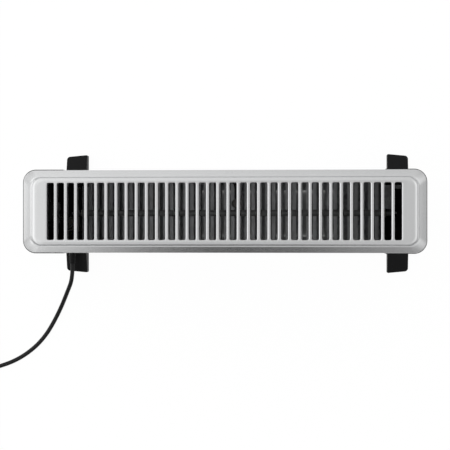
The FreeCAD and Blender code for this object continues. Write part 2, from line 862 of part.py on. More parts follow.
def make_foot(side, label):
    """Moulded foot: a saddle under the end cap that slopes down to both noses, ribbed underneath."""
    body = new_body(label)
    inner, outer = foot_x - S.foot_width / 2, foot_x + S.foot_width / 2
    low, _ = side_span(side, inner, outer)
    half, saddle = S.foot_length / 2, half_depth + S.foot_saddle_margin / 2
    profile = end_sketch(body, "profile", low)
    polygon(profile, [
        (-half, S.foot_clear),
        (half, S.foot_clear),
        (half, S.foot_nose),
        (saddle, S.foot_height),
        (-saddle, S.foot_height),
        (-half, S.foot_nose),
    ])
    pad(body, profile, S.foot_width)
    slant = level_sketch(body, "slant", S.foot_height)
    for end in (-1, 1):
        polygon(slant, [
            (side * inner, end * half),
            (side * outer, end * half),
            (side * outer, end * (half - S.foot_slant)),
        ])
    pocket(body, slant, S.foot_height)
    nose = half.number - S.foot_slant.number
    outer_x, inner_x = side * outer.number, side * inner.number
    round_edges(body, "outer_corners", S.foot_outer_round, upright_at((outer_x, nose), (outer_x, -nose)))
    inner_corners = upright_at((inner_x, half.number), (inner_x, -half.number))
    round_edges(body, "inner_corners", S.foot_inner_round, inner_corners)

    def on_shoulder(edge):
        box = edge.BoundBox
        lengthwise = box.YLength > S.foot_wall.number and box.XLength < CLOSE
        return lengthwise and box.ZMin > S.foot_clear.number + CLOSE

    round_edges(body, "shoulders", S.foot_top_round, on_shoulder)
    bays = level_sketch(body, "bays", S.foot_clear)
    x_span = side_span(side, inner + S.foot_wall, outer - S.foot_wall)
    for k in (-1, 0, 1):
        middle = k * (S.foot_bay + S.foot_rib)
        rectangle(bays, x_span, (middle - S.foot_bay / 2, middle + S.foot_bay / 2), S.foot_rib / 2)
    pocket(body, bays, S.foot_height - S.foot_roof - S.foot_clear, flip=True)
    seats = level_sketch(body, "pad_seats", S.foot_clear)
    holes = level_sketch(body, "screw_holes", S.foot_height)
    for end in (-1, 1):
        circle(seats, side * foot_x, end * pad_y, S.pad_radius + S.pad_fit)
        hole = S.foot_screw_radius + S.screw_clearance
        circle(holes, side * foot_screw_x, end * foot_screw_y, hole)
    pocket(body, seats, S.pad_height - S.foot_clear, flip=True)
    pocket(body, holes, S.foot_roof)


def four_corners():
    """Gives the signs of X and Y at the four feet's ends."""
    return [(x, y) for x in (-1, 1) for y in (-1, 1)]


def make_foot_pads():
    """Rubber pads set into the feet."""
    pads = []
    for x, y in four_corners():
        start = (x * foot_x, y * pad_y, 0)
        pads.append(cylinder(f"pad_{len(pads)}", start, UP, S.pad_radius, S.pad_height))
    group("foot_pads", pads)


def make_foot_screws():
    """Screws up through each foot's roof into the end cap's floor."""
    screws = []
    for x, y in four_corners():
        seat = (x * foot_screw_x, y * foot_screw_y, S.foot_height - S.foot_roof)
        screws.append(screw(
            f"foot_screw_{len(screws)}", seat, UP,
            S.foot_screw_radius, S.foot_screw_head, S.foot_screw_head_height, S.foot_screw_length,
        ))
    group("foot_screws", screws)


def make_casing_screws():
    """Sunk screws through the rear of the end caps into the rear sheet."""
    screws = []
    for side in (-1, 1):
        for height in casing_screw_heights():
            seat = (side * casing_screw_x, half_depth - S.casing_screw_head_height, height)
            screws.append(screw(
                f"casing_screw_{len(screws)}", seat, FORWARD,
                S.casing_screw_radius, S.casing_screw_head, S.casing_screw_head_height, S.casing_screw_length,
            ))
    group("casing_screws", screws)


def make_heating_rod():
    """Sheathed rod with a ceramic seal and a stud at each end."""
    seal = rod_half + S.rod_seal_length
    stud = seal + S.rod_stud_length
    half = [(rod_half, S.rod_radius), (rod_half, S.rod_seal_radius), (seal, S.rod_seal_radius)]
    half += [(seal, S.rod_stud_radius), (stud, S.rod_stud_radius), (stud, 0)]
    mirrored = [(-along, radius) for along, radius in reversed(half)]
    turned("heating_rod", "X", (0, 0, S.rod_height), mirrored + half)


def make_heating_fins():
    """Pressed fins: plates with a folded top, notched over the rod, one beside the other along it."""
    blank = DOCUMENT.addObject("PartDesign::Body", "fin_blank")
    section = face_sketch(blank, "fin_section", 0)
    left, right = spread(fin_flange)
    low, top = S.rod_height - S.fin_height, S.rod_height
    polygon(section, [
        (left, low),
        (left + S.fin_gauge, low),
        (left + S.fin_gauge, top - S.fin_gauge),
        (right, top - S.fin_gauge),
        (right, top),
        (left, top),
    ])
    pad(blank, section, fin_width, symmetric=True)
    notch = end_sketch(blank, "fin_notch", left)
    circle(notch, 0, S.rod_height, S.rod_radius + S.rod_fit)
    pocket(blank, notch, fin_flange, flip=True)
    count, pitch = int(S.fin_count.number), fin_pitch.number
    places = [Vector(pitch * (k - (count - 1) / 2), 0, 0) for k in range(count)]
    fins = DOCUMENT.addObject("Part::Feature", "heating_fins")
    fins.Shape = Part.makeCompound([blank.Shape.Solids[0].translated(place) for place in places])
    keep(fins, "heating_fins")


def make_element_bracket(side, label):
    """Bent sheet that stands on the tray and carries one end of the rod."""
    body = new_body(label)
    top = S.rod_height + S.bracket_rise
    section = face_sketch(body, "section", 0)
    outer = bracket_x + S.bracket_gauge
    toe = outer - S.bracket_toe
    polygon(section, [
        (side * toe, tray_top),
        (side * outer, tray_top),
        (side * outer, top),
        (side * bracket_x, top),
        (side * bracket_x, tray_top + S.bracket_gauge),
        (side * toe, tray_top + S.bracket_gauge),
    ])
    pad(body, section, bracket_width, symmetric=True)
    hole = end_sketch(body, "bush_hole", side * outer)
    circle(hole, 0, S.rod_height, S.bush_neck_radius + S.bush_fit)
    pocket(body, hole, S.bracket_gauge, flip=side < 0)
    return body


def make_left_element_bracket():
    """The bracket away from the controls has a flange folded outwards along its front half, with an ear."""
    body = make_element_bracket(-1, "left_element_bracket")
    flange = level_sketch(body, "flange", S.rod_height + S.bracket_rise - S.bracket_gauge)
    front = -(bracket_width / 2)
    edge, ear = bracket_x + S.flange_reach, bracket_x + S.ear_reach
    polygon(flange, [
        (-bracket_x, front),
        (-ear, front),
        (-ear, front + S.ear_depth),
        (-edge, front + S.ear_depth),
        (-edge, -S.flange_start),
        (-bracket_x, -S.flange_start),
    ])
    pad(body, flange, S.bracket_gauge)


def make_rod_insulators():
    """Ceramic bushes between the rod and its brackets."""
    bushes = []
    neck_end = bracket_x + S.bracket_gauge + S.bush_nose
    bore = S.rod_radius + S.rod_fit
    for side in (-1, 1):
        body = DOCUMENT.addObject("PartDesign::Body", f"bush_{len(bushes)}")
        turned_solid(body, "X", (0, 0, S.rod_height), [
            (side * (bracket_x - S.bush_flange), bore),
            (side * (bracket_x - S.bush_flange), S.bush_flange_radius),
            (side * bracket_x, S.bush_flange_radius),
            (side * bracket_x, S.bush_neck_radius),
            (side * neck_end, S.bush_neck_radius),
            (side * neck_end, bore),
        ])
        bushes.append(body)
    group("rod_insulators", bushes)


cutout_x = -(fin_pitch / 2)
cutout_y = -S.cutout_offset


def make_thermal_cutout():
    """Round safety cut-out that lies on the fins beside the rod."""
    base = S.rod_height
    rim = base + S.cutout_flange
    top = base + S.cutout_height
    shoulder = S.cutout_flange
    turned("thermal_cutout", "Z", (cutout_x, cutout_y, 0), [
        (base, 0),
        (base, S.cutout_flange_radius),
        (rim, S.cutout_flange_radius),
        (rim, S.cutout_radius),
        (top - shoulder, S.cutout_radius),
        (top, S.cutout_radius - shoulder),
        (top, 0),
    ])


def make_control_panel():
    """Recessed tray behind the end cap's window, with holes for the controls."""
    body = new_body("control_panel")
    half_width = S.window_width / 2

    def outline(name, x, inset, corner):
        sketch = end_sketch(body, name, x)
        rectangle(sketch, (inset - half_width, half_width - inset),
                  (window_low + inset, window_top - inset), corner)
        return sketch

    fit = S.tray_fit
    pad(body, outline("tub", panel_back_x, fit, S.window_corner - fit), half_length - panel_back_x)
    flange = outline("flange", cap_inner_x, -S.tray_flange, S.window_corner + S.tray_flange)
    pad(body, flange, S.tray_flange_gauge, flip=True)
    wall = fit + S.tray_wall
    pocket(body, outline("recess", half_length, wall, S.window_corner - wall), S.tray_recess)
    holes = end_sketch(body, "holes", panel_floor_x)
    circle(holes, 0, S.knob_height, S.shaft_radius + S.shaft_panel_gap)
    circle(holes, 0, lamp_height, S.lamp_radius + S.lamp_fit)
    half_opening = S.switch_width / 2 + S.switch_fit
    half_rise = S.switch_length / 2 + S.switch_fit
    for end in (-1, 1):
        middle = end * S.switch_spacing / 2
        rectangle(holes, (middle - half_opening, middle + half_opening),
                  (switch_height - half_rise, switch_height + half_rise))
    pocket(body, holes, S.tray_floor)


def make_thermostat():
    """Thermostat body behind the panel, with the bore that its shaft turns in."""
    body = new_body("thermostat")
    case = end_sketch(body, "case", panel_back_x - S.thermostat_depth)
    half = S.thermostat_size / 2
    rectangle(case, spread(S.thermostat_size), (S.knob_height - half, S.knob_height + half), S.shaft_radius)
    pad(body, case, S.thermostat_depth)
    bore = end_sketch(body, "bore", panel_back_x)
    circle(bore, 0, S.knob_height, S.shaft_radius + S.shaft_fit)
    knob_top = panel_floor_x + S.knob_gap + S.knob_depth
    shaft_tip = knob_top - S.knob_wall - S.shaft_end_gap
    depth = S.shaft_length - (shaft_tip - panel_back_x) + S.shaft_end_gap
    pocket(body, bore, depth)


def make_thermostat_shaft():
    """Spindle from inside the thermostat up into the knob."""
    tip = panel_floor_x + S.knob_gap + S.knob_depth - S.knob_wall - S.shaft_end_gap
    start = (tip - S.shaft_length, 0, S.knob_height)
    keep(cylinder("thermostat_shaft", start, RIGHT, S.shaft_radius, S.shaft_length), "thermostat_shaft")


def make_thermostat_knob():
    """Cupped knob with a boss for the shaft, grip grooves and a sunk mark, turned to its lowest setting."""
    body = new_body("thermostat_knob")
    base = panel_floor_x + S.knob_gap
    top = base + S.knob_depth
    web = top - S.knob_wall
    rim = S.knob_radius - S.knob_taper
    bore = S.shaft_radius + S.shaft_fit
    turned_solid(body, "X", (0, 0, S.knob_height), [
        (top, 0),
        (top, rim - S.knob_bevel),
        (top - S.knob_bevel, rim),
        (base + S.knob_bevel, S.knob_radius),
        (base, S.knob_radius),
        (base, S.knob_radius - S.knob_wall),
        (web, rim - S.knob_wall),
        (web, S.knob_boss_radius),
        (base, S.knob_boss_radius),
        (base, bore),
        (web, bore),
        (web, 0),
    ])
    groove = end_sketch(body, "groove", top)
    circle(groove, S.knob_radius, S.knob_height, S.knob_groove_radius)
    cut = pocket(body, groove, S.knob_groove_length)
    axis = sketch_on(body, "XZ_Plane", "knob_axis", (0, S.knob_height, 0))
    grooves = body.newObject("PartDesign::PolarPattern", "grip")
    grooves.Originals = [cut]
    grooves.Axis = (axis, ["H_Axis"])
    bind(grooves, "Occurrences", S.knob_groove_count)
    body.Tip = grooves
    DOCUMENT.recompute()
    mark = end_sketch(body, "mark", top)
    mark_high = S.knob_height + rim - 2 * S.knob_bevel
    rectangle(mark, spread(S.knob_mark_width), (S.knob_height + S.knob_boss_radius, mark_high))
    pocket(body, mark, S.knob_mark_depth)
    turn = Rotation(RIGHT, S.knob_rest_turn.number)
    body.Placement = Placement(Vector(), turn, sized(base, 0, S.knob_height))


def make_switch_housing(side, label):
    """Rocker switch case with its bezel on the panel and a cavity for the rocker."""
    body = new_body(label)
    middle = side * S.switch_spacing / 2

    def outline(name, x, growth):
        sketch = end_sketch(body, name, x)
        half_width = S.switch_width / 2 + growth
        half_rise = S.switch_length / 2 + growth
        rectangle(sketch, (middle - half_width, middle + half_width),
                  (switch_height - half_rise, switch_height + half_rise))
        return sketch

    pad(body, outline("case", switch_back_x, as_size(0)), S.switch_depth)
    pad(body, outline("bezel", panel_floor_x, S.switch_bezel), S.switch_bezel_gauge)
    pocket(body, outline("cavity", bezel_front_x, -S.switch_wall), S.cavity_depth)
    pivots = face_sketch(body, "pivots", middle)
    circle(pivots, pivot_x, switch_height, S.pin_radius + S.pin_fit)
    pocket(body, pivots, S.pin_length + 2 * S.pin_end_gap, symmetric=True)


def make_rocker(side, label):
    """Rocker with a hollowed face and two pivot pins, tipped to its off position."""
    body = new_body(label)
    middle = side * S.switch_spacing / 2
    half = S.rocker_length / 2
    profile = face_sketch(body, "profile", middle)
    polygon(profile, [
        (pivot_x - S.rocker_drop, switch_height - half),
        (pivot_x + S.rocker_end_rise, switch_height - half),
        (pivot_x + S.rocker_mid_rise, switch_height),
        (pivot_x + S.rocker_end_rise, switch_height + half),
        (pivot_x - S.rocker_drop, switch_height + half),
    ])
    pad(body, profile, S.rocker_width, symmetric=True)
    pins = face_sketch(body, "pins", middle)
    circle(pins, pivot_x, switch_height, S.pin_radius)
    pad(body, pins, S.pin_length, symmetric=True)
    pivot = Vector(pivot_x.number, middle.number, switch_height.number)
    body.Placement = Placement(Vector(), Rotation(BACKWARD, S.rocker_tilt.number), pivot)


def make_indicator_lamp():
    """Neon lens with a rim that sits on the panel."""
    seat = panel_floor_x
    rim = seat + S.lamp_flange
    tip = rim + S.lamp_dome
    turned("indicator_lamp", "X", (0, 0, lamp_height), [
        (seat - S.lamp_body, 0),
        (seat - S.lamp_body, S.lamp_radius),
        (seat, S.lamp_radius),
        (seat, S.lamp_flange_radius),
        (rim, S.lamp_flange_radius),
        (rim, S.lamp_radius),
        (tip, S.lamp_radius - S.lamp_dome),
        (tip, 0),
    ])


def make_terminal_block():
    """Block on the end cap's floor with a screw well over each core."""
    body = new_body("terminal_block")
    block = level_sketch(body, "block", floor_top)
    near_end = gland_x - S.terminal_length / 2 - S.core_radius
    far_end = gland_x + S.core_spacing + 2 * S.core_radius
    y_span = (terminal_rear - S.terminal_depth, terminal_rear)
    rectangle(block, (near_end, far_end), y_span, S.core_radius)
    pad(body, block, S.terminal_height)
    wells = level_sketch(body, "wells", floor_top + S.terminal_height)
    for k in range(3):
        place = terminal_rear - S.terminal_depth / 2 + (k - 1) * S.terminal_pitch
        circle(wells, gland_x, place, S.terminal_well_radius)
    pocket(body, wells, S.terminal_well_depth)


def make_supply_cores():
    """Stripped end of the cord inside the casing: its sheath and three cores."""
    tail_start = half_depth - S.gland_boss_length - S.gland_flange
    sheath = cylinder("tail", (gland_x, tail_start, S.gland_height), FORWARD, S.cord_radius, S.tail_length)
    pieces = [sheath]
    for k in (-1, 0, 1):
        start = (gland_x + k * S.core_spacing, tail_start - S.tail_length, S.gland_height)
        pieces.append(cylinder(f"core_{len(pieces)}", start, FORWARD, S.core_radius, S.core_length))
    group("supply_cores", pieces)


def make_cord_gland():
    """Strain relief: a nut inside, a neck through the boss, and a sleeve that tapers along the cord."""
    nut = half_depth - S.gland_boss_length
    flange = half_depth + S.gland_flange
    turned("cord_gland", "Y", (gland_x, 0, S.gland_height), [
        (nut - S.gland_flange, 0),
        (nut - S.gland_flange, S.gland_radius),
        (nut, S.gland_radius),
        (nut, S.gland_neck_radius),
        (half_depth, S.gland_neck_radius),
        (half_depth, S.gland_radius),
        (flange, S.gland_radius),
        (flange, S.gland_root_radius),
        (gland_tip, S.gland_tip_radius),
        (gland_tip, 0),
    ])


def arc_through(start, heading, end):
    """Makes the arc that leaves a point in a heading and ends at another point."""
    chord = end - start
    along = Vector(chord).normalize()
    across = heading - along * heading.dot(along)
    if across.Length < CLOSE:
        return Part.LineSegment(start, end).toShape()
    turn = heading.getAngle(along)
    middle = (start + end) * 0.5 + across.normalize() * (chord.Length / 2 * math.tan(turn / 2))
    return Part.Arc(start, middle, end).toShape()


def route_edges(points, radius_at):
    """Joins straight runs by tangent arcs, whose radius a rule gives from the shorter run and the turn."""
    edges = []
    radii = []
    here = points[0]
    for before, corner, after in zip(points, points[1:], points[2:]):
        incoming = (corner - before).normalize()
        outgoing = (after - corner).normalize()
        half_turn = incoming.getAngle(outgoing) / 2
        shorter = min((corner - before).Length, (after - corner).Length)
        radius = radius_at(shorter, half_turn)
        setback = radius * math.tan(half_turn)
        leave = corner - incoming * setback
        edges.append(Part.LineSegment(here, leave).toShape())
        here = corner + outgoing * setback
        edges.append(arc_through(leave, incoming, here))
        radii.append(radius)
    edges.append(Part.LineSegment(here, points[-1]).toShape())
    return edges, radii


def tube(edges, radius):
    """Sweeps a round section along edges that join up."""
    path = Part.Wire(edges)
    start = edges[0].Vertexes[0].Point
    heading = edges[0].tangentAt(edges[0].FirstParameter)
    section = Part.Wire(Part.Circle(start, heading, radius).toShape())
    solid = path.makePipeShell([section], True, False)
    expected = math.pi * radius ** 2 * path.Length
    if abs(solid.Volume - expected) > 0.01 * expected:
        raise ValueError(f"a tube holds {solid.Volume:.0f} of {expected:.0f} mm3")
    return solid, path.Length


def make_piece(label, shape):
    """Keeps a swept shape as a piece."""
    feature = DOCUMENT.addObject("Part::Feature", label)
    feature.Shape = shape
    return keep(feature, label)


def wire_bend(shorter, half_turn):
    """Gives inner leads one bend radius."""
    return S.wire_bend.number


def lead(points):
    """Makes one insulated lead along a route."""
    edges, _ = route_edges(points, wire_bend)
    return tube(edges, S.wire_radius.number)[0]


def make_cutout_leads():
    """Two leads from the cut-out, between the fins' folds, along the front and up to the thermostat."""
    over = S.rod_height + 2 * S.wire_radius
    front = fin_width / 2 + S.wire_radius
    start_y = cutout_y - S.cutout_flange_radius
    climb_x = panel_back_x - S.thermostat_depth / 2
    thermostat_side = -(S.thermostat_size / 2)
    leads = []
    for k in (0, 1):
        x = cutout_x + S.wire_radius * (1.3 - 2.6 * k)
        y = -(front + S.lead_spacing * k)
        end_height = S.knob_height - S.lead_spacing * (1 - k)
        leads.append(lead([
            sized(x, start_y, over),
            sized(x, y, over),
            sized(climb_x, y, over),
            sized(climb_x, y, end_height),
            sized(climb_x, thermostat_side, end_height),
        ]))
    make_piece("cutout_leads", Part.makeCompound(leads))


def make_neutral_wire():
    """Pale lead from the rod's stud down to the terminal block."""
    stud_x = rod_half + S.rod_seal_length + S.rod_stud_length / 2
    block_top = floor_top + S.terminal_height
    down_x = gland_x - 3 * S.terminal_well_radius
    down_y = terminal_rear - S.terminal_depth / 2
    shape = lead([
        sized(stud_x, S.rod_stud_radius, S.rod_height),
        sized(stud_x, S.rod_stud_radius + 2 * S.wire_bend, S.rod_height),
        sized(down_x, down_y, S.rod_height - 2 * S.wire_bend),
        sized(down_x, down_y, block_top),
    ])
    make_piece("neutral_wire", shape)


def make_live_wire():
    """Lead from the terminal block up to the back of the rear switch."""
    block_top = floor_top + S.terminal_height
    up_x = gland_x - 4 * S.terminal_well_radius
    up_y = terminal_rear - 2 * S.wire_radius
    back_x = switch_back_x - 2 * S.wire_bend
    switch_y = S.switch_spacing / 2
    shape = lead([
        sized(up_x, up_y, block_top),
        sized(up_x, up_y, S.rod_height),
        sized(back_x, up_y, S.rod_height + 4 * S.wire_bend),
        sized(back_x, up_y, switch_height),
        sized(back_x, switch_y, switch_height),
        sized(switch_back_x, switch_y, switch_height),
    ])
    make_piece("live_wire", shape)


def cord_points():
    """Places the free stretch's points: out of the gland, down to the floor and a little up at the coil."""
    lying = S.cord_radius.number
    drop = S.gland_height.number - lying
    heights = [S.gland_height.number - drop * share for share in CORD_FALL]
    heights[-CORD_LIFTED_POINTS:] = [lying + S.coil_lift.number] * CORD_LIFTED_POINTS
    start_x, start_y = gland_x.number, gland_tip.number
    return [Vector(start_x + x, start_y + y, z) for (x, y), z in zip(CORD_PLAN, heights)]


CORD_ROUTE = cord_points()


def cord_bend(shorter, half_turn):
    """Gives the cord arcs as large as its runs allow."""
    return ROUTE_ARC_SHARE * shorter / math.tan(half_turn)


def make_mains_cord():
    """The free stretch of the cord, from the gland to the coil."""
    edges, radii = route_edges(CORD_ROUTE, cord_bend)
    shape, length = tube(edges, S.cord_radius.number)
    print("cord radii", " ".join(f"{radius:.0f}" for radius in radii))
    print(f"cord free stretch {length:.0f} mm")
    make_piece("mains_cord", shape)
    return length


def smooth_step(share):
    """Rises from 0 to 1 with level ends."""
    share = min(max(share, 0.0), 1.0)
    return share * share * (3 - 2 * share)


COIL_START = CORD_ROUTE[-1] + Vector(2 * S.cord_radius.number, 0, 0)
COIL_OUTER = S.coil_inner_radius + S.coil_turn_pitch * S.coil_turns_in
COIL_CENTRE = COIL_START - Vector(0, COIL_OUTER.number, 0)
COIL_CLIMB_TURNS = 0.5
COIL_STEP = 0.25


def coil_point(turns):
    """Gives the coil's centre line: in, up a layer in half a turn, out, and up to the plug."""
    turns_in, turns_out = S.coil_turns_in.number, S.coil_turns_out.number
    pitch, inner = S.coil_turn_pitch.number, S.coil_inner_radius.number
    climb = smooth_step((turns - turns_in) / COIL_CLIMB_TURNS)
    out = max(turns - turns_in - COIL_CLIMB_TURNS, 0.0)
    radius = inner + pitch * (max(turns_in - turns, 0.0) + out)
    layer_top = COIL_START.z + S.coil_layer_pitch.number
    lift = smooth_step(2 * (out - turns_out) + 1) * (S.plug_axis_height.number - layer_top)
    angle = math.pi / 2 - 2 * math.pi * turns
    height = S.coil_layer_pitch.number * climb + lift
    return COIL_CENTRE + Vector(radius * math.cos(angle), radius * math.sin(angle), height)


def coil_heading(turns):
    """Gives the coil's direction of travel, level at the layers' ends."""
    small = 1e-4
    last = S.coil_turns_in.number + COIL_CLIMB_TURNS + S.coil_turns_out.number
    if turns < small:
        return Vector(1, 0, 0)
    if turns > last - small:
        return Vector(0, -1, 0)
    return (coil_point(turns + small) - coil_point(turns - small)).normalize()


def biarc(start, start_heading, end, end_heading):
    """Joins two points by two arcs that share a tangent, with the given headings at the ends."""
    gap = end - start
    both = start_heading + end_heading
    bend = 2 * (1 - start_heading.dot(end_heading))
    reach = gap.dot(both)
    arm = (math.sqrt(reach ** 2 + bend * gap.dot(gap)) - reach) / bend
    middle = (start + end + (start_heading - end_heading) * arm) * 0.5
    first = arc_through(start, start_heading, middle)
    heading = first.tangentAt(first.LastParameter)
    return [first, arc_through(middle, heading, end)]


def least_gap(edges, diameter):
    """Measures the least clear distance between stretches of a tube that lie more than half a turn apart."""
    step = diameter / 4
    points = []
    for edge in edges:
        points += edge.discretize(Number=max(int(edge.Length / step), 2))[:-1]
    apart = int(math.pi * S.coil_inner_radius.number / step)
    least = min(
        points[i].distanceToPoint(points[j])
        for i in range(len(points))
        for j in range(i + apart, len(points))
    )
    return least - diameter


def make_cord_coil():
    """The spare cord, wound in two layers, with straight ends."""
    total = S.coil_turns_in.number + COIL_CLIMB_TURNS + S.coil_turns_out.number
    count = round(total / COIL_STEP)
    stations = [COIL_STEP * k for k in range(count + 1)]
    edges = [Part.LineSegment(CORD_ROUTE[-1], COIL_START).toShape()]
    for turns, following in zip(stations, stations[1:]):
        edges += biarc(
            coil_point(turns), coil_heading(turns),
            coil_point(following), coil_heading(following),
        )
    end = coil_point(total)
    edges.append(Part.LineSegment(end, end + FORWARD * S.coil_tail.number).toShape())
    shape, length = tube(edges, S.cord_radius.number)
    print(f"coil length {length:.0f} mm, least gap {least_gap(edges, 2 * S.cord_radius.number):.2f} mm")
    make_piece("cord_coil", shape)
    return length


def make_cord_tie():
    """Flat tie round the coil's loops."""
    slack = S.tie_slack + S.cord_radius
    lowest = as_size(COIL_START.z) - slack
    highest = as_size(COIL_START.z) + S.coil_layer_pitch + slack
    inner = S.coil_inner_radius - slack
    outer = COIL_OUTER - S.coil_turn_pitch / 2 + slack
    body = new_body("cord_tie")
    centre = COIL_CENTRE

    def outline(name, growth):
        sketch = end_sketch(body, name, centre.x)
        y_span = (centre.y - (outer + growth), centre.y - (inner - growth))
        rectangle(sketch, y_span, (lowest - growth, highest + growth), S.tie_gauge + growth)
        return sketch

    pad(body, outline("band", S.tie_gauge), S.tie_width, symmetric=True)
    pocket(body, outline("inside", as_size(0)), 2 * S.tie_width, symmetric=True)


def make_mains_plug():
    """Moulded plug with a tapered tail, and its two pins."""
    total = S.coil_turns_in.number + COIL_CLIMB_TURNS + S.coil_turns_out.number
    tail = coil_point(total) + FORWARD * S.coil_tail.number
    neck = tail.y - S.plug_tail
    shoulder = neck - S.plug_shoulder
    front = shoulder - S.plug_body
    turned("mains_plug", "Y", (tail.x, 0, S.plug_axis_height), [
        (tail.y, 0),
        (tail.y, S.plug_tip_radius),
        (neck, S.plug_neck_radius),
        (shoulder, S.plug_radius),
        (front, S.plug_radius),
        (front, 0),
    ])
    pins = []
    for side in (-1, 1):
        start = (tail.x + side * S.plug_pin_spacing / 2, front, S.plug_axis_height)
        pins.append(cylinder(f"pin_{len(pins)}", start, FORWARD, S.plug_pin_radius, S.plug_pin_length))
    group("plug_pins", pins)


def make_heater():
    """Makes every piece of the heater."""
    make_top_grille()
    make_end_cap(-1, "left_end_cap")
    make_right_end_cap()
    make_sheet_panel(-1, "front_panel")
    make_rear_panel()
    make_base_tray()
    for side, name in ((-1, "left"), (1, "right")):
        make_foot(side, f"{name}_foot")
    make_left_element_bracket()
    make_element_bracket(1, "right_element_bracket")
    make_foot_pads()
    make_foot_screws()
    make_casing_screws()
    make_heating_rod()
    make_heating_fins()
    make_rod_insulators()
    make_thermal_cutout()
    make_control_panel()
    make_thermostat()
    make_thermostat_shaft()
    make_thermostat_knob()
    for side, name in ((-1, "low_heat"), (1, "high_heat")):
        make_switch_housing(side, f"{name}_switch")
        make_rocker(side, f"{name}_rocker")
    make_indicator_lamp()
    make_terminal_block()
    make_supply_cores()
    make_cutout_leads()
    make_neutral_wire()
    make_live_wire()
    make_cord_gland()
    length = make_mains_cord() + make_cord_coil()
    print(f"cord outside the casing {length:.0f} mm")
    make_cord_tie()
    make_mains_plug()
    DOCUMENT.recompute()


def write_parts():
    """Checks every piece and writes it as a STEP file named by its label."""
    os.makedirs("parts", exist_ok=True)
    for thing in DOCUMENT.Objects:
        if "Invalid" in thing.State or "Error" in thing.State:
            raise ValueError(f"{thing.Label} did not compute")
    for node in NODES:
        if node.Shape.isNull() or not node.Shape.isValid():
            raise ValueError(f"{node.Label} has no valid shape")
        node.Shape.exportStep(f"parts/{node.Label}.step")


make_heater()
write_parts()
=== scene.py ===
import math

import bmesh
import bpy
import numpy as np
from mathutils import Matrix, Vector


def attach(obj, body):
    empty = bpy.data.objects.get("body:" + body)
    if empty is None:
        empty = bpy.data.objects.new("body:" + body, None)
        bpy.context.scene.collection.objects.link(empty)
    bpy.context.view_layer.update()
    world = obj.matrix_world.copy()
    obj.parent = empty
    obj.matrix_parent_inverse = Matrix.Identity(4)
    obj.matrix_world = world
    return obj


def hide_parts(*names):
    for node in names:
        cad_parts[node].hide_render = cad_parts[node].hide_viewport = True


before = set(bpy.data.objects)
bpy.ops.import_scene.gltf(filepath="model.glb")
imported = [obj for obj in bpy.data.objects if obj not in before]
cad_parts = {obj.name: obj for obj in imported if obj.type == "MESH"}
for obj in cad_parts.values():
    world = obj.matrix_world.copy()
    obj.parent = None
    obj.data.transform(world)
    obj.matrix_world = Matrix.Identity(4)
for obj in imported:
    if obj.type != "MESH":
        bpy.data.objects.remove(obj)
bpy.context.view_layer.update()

bl_info = {
    "name": "Convector Heater",
    "version": (1, 0, 0),
    "blender": (4, 5, 0),
    "location": "View3D > Sidebar > Heater",
    "description": "Dresses a packed convector heater: grille, casing, element, controls, cord and stage",
    "category": "Add Mesh",
}

MM = 0.001
BODY = "heater"
CORD_X = 286.0
CORD_Z = 42.0
CORD_RADIUS = 3.7
MERGE_DISTANCE = 2e-7
NEW_PIECE_SHARP = math.radians(38.0)
CAD_NODE_SHARP = math.radians(32.0)
RIGHT_ANGLE = math.pi / 2
WHITE = (1.0, 1.0, 1.0)


# Surfaces

class Shell:
    """Collects the surfaces of one piece, each a grid of points in millimetres, and makes them a mesh."""

    def __init__(self):
        self.points = []
        self.quads = []
        self.count = 0

    def add(self, grid, wrap_rows=False):
        """Adds rows of points, each a closed loop; wrapped rows join the last loop to the first."""
        rows, columns = grid.shape[:2]
        i, j = np.meshgrid(np.arange(rows if wrap_rows else rows - 1), np.arange(columns), indexing="ij")
        after_i = (i + 1) % rows
        after_j = (j + 1) % columns
        corners = (i, j), (after_i, j), (after_i, after_j), (i, after_j)
        quads = np.stack([a * columns + b for a, b in corners], axis=-1).reshape(-1, 4)
        self.points.append(grid.reshape(-1, 3))
        self.quads.append(quads + self.count)
        self.count += rows * columns
        return self

    def piece(self, name, finish, replaces=(), slot=None, body=BODY):
        """Makes the object: doubled points merged, faces turned outwards, smooth apart from sharp edges."""
        mesh = bpy.data.meshes.new(name)
        points = np.concatenate(self.points) * MM
        mesh.from_pydata(points.tolist(), [], np.concatenate(self.quads).tolist())
        build = bmesh.new()
        build.from_mesh(mesh)
        bmesh.ops.remove_doubles(build, verts=build.verts, dist=MERGE_DISTANCE)
        bmesh.ops.recalc_face_normals(build, faces=build.faces)
        build.to_mesh(mesh)
        build.free()
        mesh.polygons.foreach_set("use_smooth", np.ones(len(mesh.polygons), dtype=bool))
        mesh.set_sharp_from_angle(angle=NEW_PIECE_SHARP)
        return settle(bpy.data.objects.new(name, mesh), finish, replaces, body)


def settle(thing, finish, replaces=(), body=BODY):
    """Links a new piece, paints it, and says what it rides on and stands for."""
    bpy.context.scene.collection.objects.link(thing)
    thing.data.materials.append(finish)
    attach(thing, body)
    if replaces:
        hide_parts(*replaces)
    return thing


